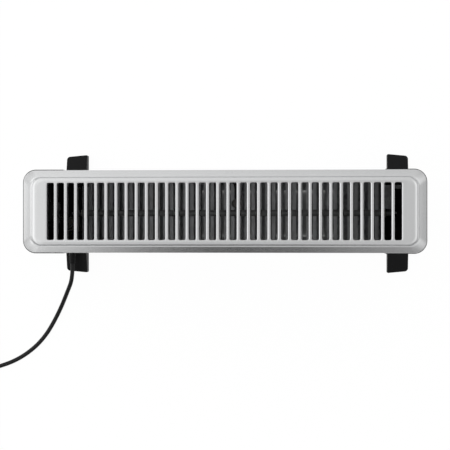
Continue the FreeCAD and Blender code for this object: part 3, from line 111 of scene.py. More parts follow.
def eased(corners, radii, steps):
    """A profile with rounded corners: each gives way to the arc of its radius that touches both runs."""
    corners = np.asarray(corners, dtype=float)
    radius = np.maximum(np.asarray(radii, dtype=float), 1e-6)[:, None]
    middle = corners[1:-1]
    back = corners[:-2] - middle
    ahead = corners[2:] - middle
    back /= np.linalg.norm(back, axis=1, keepdims=True)
    ahead /= np.linalg.norm(ahead, axis=1, keepdims=True)
    half = np.arccos(np.clip((back * ahead).sum(axis=1, keepdims=True), -1, 1)) / 2
    setback = radius / np.tan(half)
    bisector = back + ahead
    bisector /= np.maximum(np.linalg.norm(bisector, axis=1, keepdims=True), 1e-12)
    centre = middle + bisector * radius / np.sin(half)
    start = (middle + back * setback - centre)[:, None, :]
    end = (middle + ahead * setback - centre)[:, None, :]
    sweep = (math.pi - 2 * half)[:, None, :]
    share = np.linspace(0, 1, steps + 1)[None, :, None]
    arc = (np.sin((1 - share) * sweep) * start + np.sin(share * sweep) * end) / np.sin(sweep)
    rounded = (centre[:, None, :] + arc).reshape(-1, 2)
    return np.vstack([corners[:1], rounded, corners[-1:]])


def divided(profile, count):
    """A profile with each of its runs cut into a number of equal parts."""
    parts = np.linspace(profile[:-1], profile[1:], count, endpoint=False, axis=1)
    return np.vstack([parts.reshape(-1, 2), profile[-1:]])


def ring_angles(segments):
    """Equal steps of angle round a full turn."""
    return np.linspace(0, 2 * math.pi, segments, endpoint=False)


AXES = {
    "X": ((1, 0, 0), (0, 1, 0), (0, 0, 1)),
    "Y": ((0, 1, 0), (0, 0, 1), (1, 0, 0)),
    "Z": ((0, 0, 1), (1, 0, 0), (0, 1, 0)),
}


def about(axis, along, radius, angle, centre):
    """Points about an axis: along times the axis's direction, plus the radius times the cosine and sine of
    the angle times the two directions across it."""
    line, first, second = (np.asarray(v, dtype=float) for v in AXES[axis])
    across = (radius * np.cos(angle))[..., None] * first + (radius * np.sin(angle))[..., None] * second
    return along[..., None] * line + across + np.asarray(centre, dtype=float)


def turned(profile, axis, centre, segments, radius_at=None):
    """A profile of (along, radius) carried round an axis; radius_at changes the radius by place and angle."""
    along, radius = np.asarray(profile, dtype=float).T[:, :, None]
    angle = ring_angles(segments)
    spread = np.repeat(radius, segments, axis=1)
    if radius_at is not None:
        spread = radius_at(along, spread, angle)
    return about(axis, along, spread, angle, centre)


def track(along_x, along_y, corner_steps):
    """Columns of a rounded rectangle's loop: factors of its straight half sizes, and unit normals."""
    flat_x = np.asarray(along_x, dtype=float)
    flat_y = np.asarray(along_y, dtype=float)
    turn = np.linspace(0, RIGHT_ANGLE, corner_steps + 2)[1:-1]
    ones_x, ones_y, ones = (np.ones_like(v) for v in (flat_x, flat_y, turn))
    sides = [
        (flat_x, -ones_x, -RIGHT_ANGLE * ones_x),
        (ones, -ones, turn - RIGHT_ANGLE),
        (ones_y, flat_y, 0 * ones_y),
        (ones, ones, turn),
        (flat_x[::-1], ones_x, RIGHT_ANGLE * ones_x),
        (-ones, ones, turn + RIGHT_ANGLE),
        (-ones_y, flat_y[::-1], math.pi * ones_y),
        (-ones, -ones, turn + math.pi),
    ]
    factor_x, factor_y, angle = (np.concatenate(parts) for parts in zip(*sides))
    return factor_x, factor_y, np.cos(angle), np.sin(angle)


def loops(columns, half_x, half_y, radius):
    """Rows of rounded rectangles: the straight half size, which is the half size less the radius, times the
    column's factor, plus the radius times its normal."""
    factor_x, factor_y, normal_x, normal_y = columns
    half_x, half_y, radius = (np.asarray(v, dtype=float)[:, None] for v in (half_x, half_y, radius))
    x = factor_x * (half_x - radius) + normal_x * radius
    y = factor_y * (half_y - radius) + normal_y * radius
    return x, y


def bar(outline, half_width, edge):
    """A closed outline carried across a width, drawn in along its normals by a quarter circle at each end."""
    outline = np.asarray(outline, dtype=float)
    run = np.roll(outline, -1, axis=0) - np.roll(outline, 1, axis=0)
    normal = np.stack([run[:, 1], -run[:, 0]], axis=1)
    normal /= np.linalg.norm(normal, axis=1, keepdims=True)
    phase = np.linspace(0, RIGHT_ANGLE, 5)
    inset = edge * (1 - np.sin(phase))
    across = half_width - edge + edge * np.cos(phase)
    inset = np.concatenate([inset, inset[::-1]])
    across = np.concatenate([-across, across[::-1]])
    plan = outline[None] - inset[:, None, None] * normal[None]
    middle = np.repeat(outline.mean(axis=0)[None, None], outline.shape[0], axis=1)
    plan = np.concatenate([middle, plan, middle])
    across = np.concatenate([[-half_width], across, [half_width]])
    return plan, np.repeat(across[:, None], outline.shape[0], axis=1)


def smooth_step(low, high, value):
    """Rises from 0 to 1 between two values with level ends."""
    share = np.clip((value - low) / (high - low), 0, 1)
    return share * share * (3 - 2 * share)


# Shader maths

class Link:
    """A socket of a finish; arithmetic on it adds Math nodes."""

    def __init__(self, finish, socket):
        self.finish = finish
        self.socket = socket

    def maths(self, operation, *values):
        """Adds a Math node on values, each a number or a link."""
        return self.finish.node("ShaderNodeMath", {"operation": operation}, dict(enumerate(values)))

    def __add__(self, other):
        return self.maths("ADD", self, other)

    def __radd__(self, other):
        return self.maths("ADD", other, self)

    def __sub__(self, other):
        return self.maths("SUBTRACT", self, other)

    def __rsub__(self, other):
        return self.maths("SUBTRACT", other, self)

    def __mul__(self, other):
        return self.maths("MULTIPLY", self, other)

    def __rmul__(self, other):
        return self.maths("MULTIPLY", other, self)

    def __pow__(self, other):
        return self.maths("POWER", self, other)

    def __rpow__(self, other):
        return self.maths("POWER", other, self)

    def __neg__(self):
        return self.maths("SUBTRACT", 0.0, self)

    def __abs__(self):
        return self.maths("ABSOLUTE", self)

    def between(self, low, high):
        """Rises smoothly from 0 at low to 1 at high."""
        settings = {"interpolation_type": "SMOOTHSTEP"}
        inputs = {"Value": self, "From Min": low, "From Max": high, "To Min": 0.0, "To Max": 1.0}
        return self.finish.node("ShaderNodeMapRange", settings, inputs)


class Finish:
    """A procedural material, or world, made of nodes; a material reads the piece's own Object coordinates."""

    def __init__(self, name, owner=None):
        self.material = owner or bpy.data.materials.new(name)
        self.material.use_nodes = True
        self.tree = self.material.node_tree
        self.tree.nodes.clear()
        self.place = self.node("ShaderNodeTexCoord", output="Generated" if owner else "Object")

    def node(self, kind, settings=None, inputs=None, output=0):
        """Adds a node, sets what it is set to, then fills or links its sockets."""
        node = self.tree.nodes.new(kind)
        for name, value in (settings or {}).items():
            setattr(node, name, value)
        for name, value in (inputs or {}).items():
            if isinstance(value, Link):
                self.tree.links.new(value.socket, node.inputs[name])
            else:
                node.inputs[name].default_value = value
        return Link(self, node.outputs[output])

    def stretched(self, scale, turn=(0.0, 0.0, 0.0)):
        """The piece's coordinates, scaled and turned for a pattern that runs one way."""
        inputs = {"Vector": self.place, "Scale": scale, "Rotation": turn}
        return self.node("ShaderNodeMapping", None, inputs)

    def noise(self, scale, detail, at=None):
        """Smooth noise of a number of bumps a metre, from 0 to 1."""
        inputs = {"Vector": at or self.place, "Scale": scale, "Detail": detail}
        return self.node("ShaderNodeTexNoise", None, inputs)

    def cells(self, scale, feature="F1"):
        """Distance from the nearest seed of a scatter of seeds."""
        inputs = {"Vector": self.place, "Scale": scale}
        return self.node("ShaderNodeTexVoronoi", {"feature": feature}, inputs, "Distance")

    def tones(self, scale):
        """One random tone for each cell of a scatter."""
        colour = self.node("ShaderNodeTexVoronoi", None, {"Vector": self.place, "Scale": scale}, "Color")
        return self.node("ShaderNodeSeparateColor", None, {"Color": colour})

    def axis(self, name):
        """One of the piece's coordinates, in metres."""
        return self.node("ShaderNodeSeparateXYZ", None, {"Vector": self.place}, name)

    def mixed(self, share, first, second):
        """Two colours mixed by a share; 6, 7 and 2 are the node's colour sockets."""
        first, second = (c if isinstance(c, Link) else rgba(c) for c in (first, second))
        return self.node("ShaderNodeMix", {"data_type": "RGBA"}, {0: share, 6: first, 7: second}, 2)

    def varied(self, share, colour, darkest, lightest):
        """A colour that goes by a share from a darkest to a lightest factor of itself."""
        return self.mixed(share, shade(colour, darkest), shade(colour, lightest))

    def bump(self, height, strength, distance):
        """A normal bent by a height of so many metres."""
        inputs = {"Height": height, "Strength": strength, "Distance": distance}
        return self.node("ShaderNodeBump", None, inputs)

    def shown(self, shader, output="ShaderNodeOutputMaterial"):
        """Links a shader to the output."""
        end = self.tree.nodes.new(output)
        self.tree.links.new(shader.socket, end.inputs["Surface"])
        return self.material

    def done(self, inputs):
        """Ends the finish in a principled shader."""
        return self.shown(self.node("ShaderNodeBsdfPrincipled", None, inputs))


def rgba(colour):
    """A colour with full alpha."""
    return (*colour, 1.0)


def shade(colour, factor):
    """A colour made darker or lighter."""
    return tuple(factor * c for c in colour)


def silver_lacquer(name, colour, metallic, peel, gloss=0.15):
    """Silver lacquer: fine flakes, a slow cloudiness, and the slight ripple of a sprayed coat."""
    f = Finish(name)
    flake = f.tones(2400.0)
    cloud = f.noise(14.0, 3.0)
    ripple = f.noise(peel, 2.0)
    share = 0.5 * flake + 0.5 * cloud
    return f.done({
        "Base Color": f.varied(share, colour, 0.93, 1.06),
        "Metallic": metallic,
        "Roughness": gloss + 0.05 * flake + 0.03 * cloud,
        "Coat Weight": 0.15,
        "Coat Roughness": 0.25,
        "Normal": f.bump(ripple + 0.2 * flake, 0.03, 0.0003),
    })


def grained_plastic(name, colour, grain, rough, depth=0.5, shine=0.32):
    """Moulded plastic with the fine pebbled grain of an etched mould, and a slight unevenness of gloss."""
    f = Finish(name)
    pebble = f.cells(grain, "SMOOTH_F1")
    cloud = f.noise(22.0, 4.0)
    rub = f.noise(90.0, 3.0).between(0.52, 0.75)
    return f.done({
        "Base Color": f.varied(0.6 * cloud + 0.4 * pebble, colour, 0.75, 1.35),
        "Roughness": rough + 0.10 * cloud - 0.07 * rub,
        "Specular IOR Level": shine,
        "Normal": f.bump(pebble, depth, 0.00012),
    })


def gloss_plastic(name, colour, rough=0.16):
    """Polished moulding: faint flow lines, fine scuffs in the gloss."""
    f = Finish(name)
    flow = f.noise(40.0, 3.0, at=f.stretched((1.0, 0.15, 1.0)))
    scuff = f.noise(1500.0, 2.0, at=f.stretched((1.0, 0.05, 1.0), (0.4, 0.0, 0.6))).between(0.58, 0.72)
    return f.done({
        "Base Color": f.varied(flow, colour, 0.85, 1.15),
        "Roughness": rough + 0.06 * flow + 0.12 * scuff,
        "Coat Weight": 0.3,
        "Coat Roughness": 0.08,
        "Normal": f.bump(flow, 0.05, 0.0002),
    })


def rolled_metal(name, colour, along, rough, tint=None, metallic=1.0):
    """Rolled metal: long fine lines in one direction, a slow change of tone, and stains of a tint, if any."""
    f = Finish(name)
    lines = f.noise(900.0, 3.0, at=f.stretched(along))
    cloud = f.noise(25.0, 3.0)
    colours = f.varied(0.6 * lines + 0.4 * cloud, colour, 0.78, 1.15)
    if tint:
        stain = f.noise(55.0, 4.0).between(0.45, 0.75)
        colours = f.mixed(0.6 * stain, colours, tint)
    return f.done({
        "Base Color": colours,
        "Metallic": metallic,
        "Roughness": rough + 0.16 * lines,
        "Normal": f.bump(lines, 0.12, 0.0001),
    })


def spangled_zinc(name, colour):
    """Galvanised sheet: crystals of differing tone and gloss, with a fine grain over them."""
    f = Finish(name)
    crystal = f.tones(160.0)
    fine = f.noise(1800.0, 2.0)
    return f.done({
        "Base Color": f.varied(crystal, colour, 0.7, 1.2),
        "Metallic": 1.0,
        "Roughness": 0.36 + 0.2 * crystal + 0.08 * fine,
        "Normal": f.bump(crystal + 0.3 * fine, 0.08, 0.0001),
    })


def fired_ceramic(name, colour):
    """Unglazed ceramic: chalky, with fine specks and pores."""
    f = Finish(name)
    pores = f.cells(1400.0)
    speck = f.noise(2200.0, 2.0).between(0.6, 0.7)
    base = f.varied(f.noise(120.0, 3.0), colour, 0.9, 1.05)
    return f.done({
        "Base Color": f.mixed(0.5 * speck, base, shade(colour, 0.4)),
        "Roughness": 0.72 + 0.1 * pores,
        "Normal": f.bump(pores, 0.3, 0.0001),
    })


def soft_sheath(name, colour, rough=0.5):
    """Extruded flexible sheath: a slight waviness of tone, gloss and surface, and a dusty bloom."""
    f = Finish(name)
    wave = f.noise(260.0, 2.0)
    dust = f.noise(700.0, 4.0).between(0.5, 0.8)
    base = f.varied(wave, colour, 0.8, 1.3)
    return f.done({
        "Base Color": f.mixed(0.06 * dust, base, (0.16, 0.16, 0.155)),
        "Roughness": rough - 0.1 * wave + 0.15 * dust,
        "Specular IOR Level": 0.28,
        "Normal": f.bump(wave, 0.12, 0.0002),
    })


def matt_rubber(name, colour):
    """Rubber: dull, with a powdery bloom and moulding pores."""
    f = Finish(name)
    pores = f.cells(2600.0)
    bloom = f.noise(130.0, 4.0)
    return f.done({
        "Base Color": f.varied(bloom, colour, 0.7, 1.6),
        "Roughness": 0.72 + 0.15 * bloom,
        "Normal": f.bump(pores, 0.3, 0.0001),
    })


def lamp_amber(name, colour):
    """Tinted lens: glossy, uneven in the depth of its tint, with fine prisms across it."""
    f = Finish(name)
    prism = f.noise(2600.0, 1.0, at=f.stretched((1.0, 1.0, 0.1)))
    depth = f.noise(300.0, 2.0)
    return f.done({
        "Base Color": f.varied(depth, colour, 0.6, 1.2),
        "Roughness": 0.12 + 0.08 * prism,
        "Coat Weight": 0.6,
        "Coat Roughness": 0.04,
        "Normal": f.bump(prism, 0.15, 0.0001),
    })


def plug_pin_metal(name, colour, sleeve_end):
    """Plated pins with fine draw lines, and a black sleeve on the half next to the plug."""
    f = Finish(name)
    lines = f.noise(1600.0, 2.0, at=f.stretched((1.0, 0.06, 1.0)))
    sleeve = f.axis("Y").between(sleeve_end - 0.0002, sleeve_end + 0.0002)
    metal = f.varied(lines, colour, 0.85, 1.1)
    return f.done({
        "Base Color": f.mixed(sleeve, metal, (0.012, 0.012, 0.012)),
        "Metallic": 1.0 - sleeve,
        "Roughness": 0.2 + 0.12 * lines + 0.25 * sleeve,
        "Normal": f.bump(lines, 0.06, 0.0001),
    })


def rocker_plastic(name, colour, pivot, spacing):
    """Polished rocker with a printed bar on the upper half of its outer face and a ring on the lower half.
    Pivot is the height of the rockers' line, and spacing the distance between the two."""
    f = Finish(name)
    mark_height = 0.0042
    across = abs(abs(f.axis("Y")) - spacing / 2)
    rise = f.axis("Z") - pivot
    drop = rise + mark_height
    line = (1 - across.between(0.00030, 0.00036)) * (1 - abs(rise - mark_height).between(0.0014, 0.0015))
    reach = (across * across + drop * drop) ** 0.5
    ring = 1 - abs(reach - 0.0012).between(0.00028, 0.00034)
    face = f.axis("X").between(0.2875, 0.2877)
    grain = f.noise(900.0, 2.0)
    base = f.varied(grain, colour, 0.85, 1.2)
    return f.done({
        "Base Color": f.mixed((line + ring) * face, base, (0.8, 0.8, 0.78)),
        "Roughness": 0.2 + 0.08 * grain,
        "Coat Weight": 0.25,
        "Coat Roughness": 0.1,
        "Normal": f.bump(grain, 0.04, 0.0001),
    })


def dress(node, finish):
    """Keeps a CAD node: its facets are joined, shaded smooth, split at sharp edges and painted."""
    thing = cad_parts[node]
    thing.data.materials.clear()
    thing.data.materials.append(finish)
    thing.data.polygons.foreach_set("use_smooth", np.ones(len(thing.data.polygons), dtype=bool))
    weld = thing.modifiers.new("joined_facets", "WELD")
    weld.merge_threshold = 1e-6
    split = thing.modifiers.new("sharp_edges", "EDGE_SPLIT")
    split.split_angle = CAD_NODE_SHARP


def flexible(name, points, radius, finish, replaces=()):
    """A wire along one smooth line: a second-degree spline with the given points as its control points."""
    curve = bpy.data.curves.new(name, "CURVE")
    curve.dimensions = "3D"
    spline = curve.splines.new("NURBS")
    points = np.asarray(points, dtype=float)
    spline.points.add(len(points) - 1)
    places = np.column_stack([points * MM, np.ones(len(points))])
    spline.points.foreach_set("co", places.ravel())
    spline.order_u = 3
    spline.use_endpoint_u = True
    spline.use_smooth = True
    spline.resolution_u = 10
    curve.bevel_depth = radius * MM
    curve.bevel_resolution = 5
    curve.use_fill_caps = True
    return settle(bpy.data.objects.new(name, curve), finish, replaces)


# Values a user may change

def colour_value(name, description, default):
    """A colour that a user may change."""
    return bpy.props.FloatVectorProperty(
        name=name, description=description, default=default, subtype="COLOR", size=3, min=0.0, max=1.0)


class GrilleSizes(bpy.types.PropertyGroup):
    """Sizes and colour of the top cover, in millimetres unless they say otherwise."""

    bevel: bpy.props.FloatProperty(
        name="Slat bevel", description="Width of the bevel on a slat's control side, in mm",
        default=1.6, min=0.2, max=2.0)
    bevel_fall: bpy.props.FloatProperty(
        name="Bevel fall", description="Fall of that bevel, in mm", default=0.4, min=0.1, max=1.5)
    narrow: bpy.props.FloatProperty(
        name="Narrow share", description="Share of that width on the slat's other side",
        default=0.3, min=0.0, max=1.0)
    colour: colour_value("Colour", "Silver of the cover", (0.79, 0.795, 0.80))


class CasingColours(bpy.types.PropertyGroup):
    """Colours of the casing and the feet."""

    silver: colour_value("Sheets", "Silver of the front and rear", (0.75, 0.755, 0.76))
    black: colour_value("Mouldings", "Black of the ends and feet", (0.007, 0.007, 0.0075))
    zinc: colour_value("Zinc", "Plain zinc of the tray", (0.40, 0.41, 0.42))


class ElementColours(bpy.types.PropertyGroup):
    """Colours of the heating element."""

    fins: colour_value("Fins", "Rolled metal of the fins", (0.64, 0.65, 0.66))
    rod: colour_value("Rod", "Sheath of the rod", (0.36, 0.36, 0.36))
    ceramic: colour_value("Ceramic", "Bushes of the rod", (0.74, 0.71, 0.64))


class ControlColours(bpy.types.PropertyGroup):
    """Colours of the controls."""

    panel: colour_value("Panel", "Black of the control panel", (0.012, 0.012, 0.013))
    knob: colour_value("Knob", "Black of the knob", (0.02, 0.02, 0.021))
    lamp: colour_value("Lamp", "Amber of the lens", (0.75, 0.17, 0.03))
    print_tone: colour_value("Print", "Printed marks", (0.78, 0.78, 0.76))


class CordSizes(bpy.types.PropertyGroup):
    """Length, thickness and colour of the mains cord."""

    length: bpy.props.FloatProperty(
        name="Length", description="Length outside the casing", default=1.63, unit="LENGTH")
    diameter: bpy.props.FloatProperty(
        name="Diameter", description="Diameter of the sheath", default=0.0074, unit="LENGTH", precision=4)
    colour: colour_value("Colour", "Black of the sheath", (0.008, 0.008, 0.0085))


class StageLight(bpy.types.PropertyGroup):
    """Light and floor of the stage."""

    key_power: bpy.props.FloatProperty(
        name="Key power", description="Power of the large soft lamp", default=6.0, unit="POWER")
    sky: bpy.props.FloatProperty(
        name="Sky", description="Level of the light from all round", default=0.88)
    floor_tone: bpy.props.FloatProperty(
        name="Floor", description="Tone of the floor", default=0.86, min=0.0, max=1.0)


# Pieces

class HEATER_OT_grille(bpy.types.Operator):
    """Top cover: sloping border, raised panel, and slots between rounded slats"""

    bl_idname = "heater.grille"
    bl_label = "Top grille"

    slot_count = 35
    pitch = 15.0
    slot_half = (5.2, 42.0)
    slot_corner = 2.4
    cell_half = (7.5, 44.5)
    cover_half = (296.4, 60.9)
    top = 385.0
    ceiling = 374.5
    foot = 366.0
    wall = 2.5
    rim = 377.2
    rim_corner = 18.0
    step_inset = 11.5
    step_corner = 14.0
    border_rise = 4.2
    lip = 0.14
    lip_foot = 376.05
    ledge_inset = 8.9
    groove_inset = 10.5
    groove_width = 0.2
    groove_depth = 0.8
    drawn_from = 12.6
    drawn_out = 1.8

    def corner_at(self, inset):
        """Corner radius of the cover's loop at an inset: it goes evenly from the rim's to the step's, then
        falls by as much as the inset grows."""
        border = self.rim_corner + (self.step_corner - self.rim_corner) * inset / self.step_inset
        return np.where(inset < self.step_inset, border, self.step_corner + self.step_inset - inset)

    def slope(self, inset):
        """Height of the sloping border at an inset: it rises evenly from the rim to the step."""
        return self.rim + inset * self.border_rise / self.step_inset

    def edge(self, panel, rounding):
        """Insets and heights of the cover's edge, from the panel's corners out over the border, lip and
        skirt, and back inside the skirt."""
        corners = [
            (16.6, self.top), *panel, (-self.lip, self.slope(-self.lip)), (-self.lip, self.lip_foot),
            (0.0, self.lip_foot), (0.0, self.foot), (self.wall, self.foot), (self.wall, self.ceiling),
            (6.0, self.ceiling),
        ]
        return eased(corners, [*rounding, 0.05, 0.05, 0.4, 0.4, 0.6], 9)[1:-1].T

    def border(self):
        """The cover's edge carried round rounded rectangles, between two plain ones round all the slots.
        Along the sides the panel falls away before its step, which has a fine groove at its foot, a bell
        curve of the inset, and a narrow level ledge. At the two ends the step is rounder and its top is drawn
        out along the cover. Round the corners the height changes by the square of the normal's X."""
        ledge = self.slope(self.ledge_inset)
        side = [(15.8, self.top), (11.8, self.top - 0.7), (10.35, ledge), (self.ledge_inset, ledge)]
        end = [
            (16.2, self.top), (13.1, self.top - 0.01),
            (11.7, self.slope(11.7) - 0.01), (9.0, self.slope(9.0)),
        ]
        inset, height = self.edge(side, (4.0, 1.8, 1.0, 1.5, 1.2))
        end_inset, end_height = self.edge(end, (150.0, 3.0, 1.6, 150.0, 0.6))
        columns = track(np.linspace(-1, 1, self.slot_count + 1), (-1.0, 1.0), 14)
        drawn = self.drawn_out * np.maximum(end_inset - self.drawn_from, 0.0)
        half_x = self.cover_half[0] - end_inset - drawn
        x, y = loops(columns, half_x, self.cover_half[1] - inset, self.corner_at(inset))
        height = height - self.groove_depth * np.exp(-((inset - self.groove_inset) / self.groove_width) ** 2)
        along_end = columns[2] ** 2
        z = height[:, None] * (1 - along_end) + end_height[:, None] * along_end
        row_half = self.pitch * self.slot_count / 2
        edge_x, edge_y = loops(columns, [row_half], [self.cell_half[1]], [0.0])
        x = np.vstack([edge_x, x, edge_x])
        y = np.vstack([edge_y, y, edge_y])
        z = np.vstack([0 * edge_x + self.top, z, 0 * edge_x + self.ceiling])
        return np.stack([x, y, z], axis=-1)

    def cell(self, sizes):
        """One slot and the half slats round it: rounded rectangles that draw in from the cell's edge over a
        bevel to the slot's wall, go down it and draw out again below. The bevel is wide on one long side."""
        width = sizes.bevel
        fall = sizes.bevel_fall
        corners = [(2.2, 0.0), (width, 0.0), (0.2 * width, -fall), (0.0, -2.2 * fall), (0.0, -5.0)]
        bevel = eased(corners, [1.2, 0.5, 0.5], 4)[1:-1]
        phase = np.linspace(0, RIGHT_ANGLE, 4)
        lower_round = 0.6
        outset = np.concatenate([bevel[:, 0], lower_round * (1 - np.cos(phase))])
        z = np.concatenate([self.top + bevel[:, 1], self.ceiling + lower_round * (1 - np.sin(phase))])
        columns = track((-1.0, 1.0), (-1.0, 1.0), 3)
        narrow = sizes.narrow * outset
        half_x, half_y = self.slot_half
        x, y = loops(columns, half_x + (outset + narrow) / 2, half_y + narrow, self.slot_corner + narrow)
        x = x + (narrow - outset)[:, None] / 2
        edge_x, edge_y = loops(columns, [self.cell_half[0]], [self.cell_half[1]], [0.0])
        x = np.vstack([edge_x, x, edge_x])
        y = np.vstack([edge_y, y, edge_y])
        z = np.concatenate([[self.top], z, [self.ceiling]])
        return np.stack([x, y, np.repeat(z[:, None], x.shape[1], axis=1)], axis=-1)

    def execute(self, context):
        sizes = context.scene.heater_grille
        shell = Shell().add(self.border())
        cell = self.cell(sizes)
        middle = self.pitch * (self.slot_count - 1) / 2
        for place in np.linspace(-middle, middle, self.slot_count):
            shell.add(cell + (place, 0.0, 0.0))
        finish = silver_lacquer("silver_cover", sizes.colour, 0.92, 380.0)
        shell.piece("grille_cover", finish, ("top_grille",), "silver_plastic")
        return {"FINISHED"}


class HEATER_OT_casing(bpy.types.Operator):
    """End caps, front and rear sheets and floor tray"""

    bl_idname = "heater.casing"
    bl_label = "Casing"

    def execute(self, context):
        colours = context.scene.heater_casing
        black = grained_plastic("black_ends", colours.black, 1900.0, 0.40)
        silver = silver_lacquer("silver_sheet", colours.silver, 0.75, 520.0, 0.36)
        for node in ("left_end_cap", "right_end_cap"):
            dress(node, black)
        for node in ("front_panel", "rear_panel"):
            dress(node, silver)
        dress("base_tray", spangled_zinc("zinc_tray", colours.zinc))
        return {"FINISHED"}


class HEATER_OT_feet(bpy.types.Operator):
    """Feet and their rubber pads"""

    bl_idname = "heater.feet"
    bl_label = "Feet"

    pad_x = 282.0
    pad_y = 84.0

    def execute(self, context):
        """Paints the feet and turns a profile with a shallow ring in its sole into each pad."""
        black = grained_plastic("black_feet", context.scene.heater_casing.black, 1700.0, 0.50, shine=0.20)
        for node in ("left_foot", "right_foot"):
            dress(node, black)
        corners = [
            (4.0, 0.0), (4.0, 10.0), (0.0, 10.0), (0.0, 7.6),
            (0.5, 7.2), (0.5, 5.6), (0.0, 5.2), (0.0, 0.0),
        ]
        profile = eased(corners, [0.3, 0.8, 0.1, 0.1, 0.1, 0.1], 4)
        shell = Shell()
        for x in (-self.pad_x, self.pad_x):
            for y in (-self.pad_y, self.pad_y):
                shell.add(turned(profile, "Z", (x, y, 0.0), 40))
        rubber = matt_rubber("pad_rubber", (0.02, 0.02, 0.02))
        shell.piece("rubber_pads", rubber, ("foot_pads",), "soft_rubber")
        return {"FINISHED"}


class HEATER_OT_screws(bpy.types.Operator):
    """Screws of the feet and of the casing, with crossed recesses in their heads"""

    bl_idname = "heater.screws"
    bl_label = "Screws"

    def screw(self, head, height, shank, length, axis, way):
        """A domed head whose height falls by the fourth power of the radius, less a crossed recess; then the
        shank, with a pointed end. The head's seat is at zero, and the shank runs from it the given way."""
        out = np.linspace(0, 1, 12)[:, None]
        angle = ring_angles(48)
        reach = head * out
        arm = reach * np.minimum(abs(np.cos(angle)), abs(np.sin(angle)))
        recess = 1 - smooth_step(0.10 * head, 0.17 * head, arm)
        recess = recess * (1 - smooth_step(0.50 * head, 0.60 * head, reach))
        dome = height * (1 - 0.35 * out ** 4)
        rise = dome - 0.55 * height * recess * (1 - reach / head)
        radius = np.repeat(reach, len(angle), axis=1)
        body = np.array([(0.0, head), (0.0, shank), (-length + shank, shank), (-length, 0.0)])
        along = np.vstack([rise, np.repeat(body[:, :1], len(angle), axis=1)])
        radius = np.vstack([radius, np.repeat(body[:, 1:], len(angle), axis=1)])
        return about(axis, -way * along, radius, angle, (0.0, 0.0, 0.0))

    def execute(self, context):
        steel = rolled_metal("screw_zinc", (0.55, 0.55, 0.55), (1.0, 1.0, 1.0), 0.28)
        screw = self.screw(head=3.2, height=1.4, shank=1.75, length=9.0, axis="Y", way=-1)
        shell = Shell()
        for x in (-244.5, 244.5):
            for z in (80.0, 200.0, 320.0):
                shell.add(screw + (x, 60.6, z))
        shell.piece("casing_screw_set", steel, ("casing_screws",), "bright_steel")
        screw = self.screw(head=3.8, height=2.4, shank=2.0, length=12.0, axis="Z", way=1)
        shell = Shell()
        for x in (-274.0, 274.0):
            for y in (-46.0, 46.0):
                shell.add(screw + (x, y, 26.0))
        shell.piece("foot_screw_set", steel, ("foot_screws",), "bright_steel")
        return {"FINISHED"}


class HEATER_OT_element(bpy.types.Operator):
    """Heating element: rod, fins, bushes, brackets and cut-out"""

    bl_idname = "heater.element"
    bl_label = "Heating element"

    def execute(self, context):
        colours = context.scene.heater_element
        fins = rolled_metal("fin_metal", colours.fins, (1.0, 0.04, 1.0), 0.46, shade(colours.fins, 0.7), 0.7)
        dress("heating_fins", fins)
        rod = rolled_metal("rod_sheath", colours.rod, (0.05, 1.0, 1.0), 0.5, shade(colours.rod, 0.6), 0.3)
        dress("heating_rod", rod)
        dress("rod_insulators", fired_ceramic("bush_ceramic", colours.ceramic))
        zinc = spangled_zinc("bracket_zinc", context.scene.heater_casing.zinc)
        dress("left_element_bracket", zinc)
        dress("right_element_bracket", zinc)
        dress("thermal_cutout", grained_plastic("cutout_case", (0.22, 0.21, 0.20), 2600.0, 0.45))
        return {"FINISHED"}


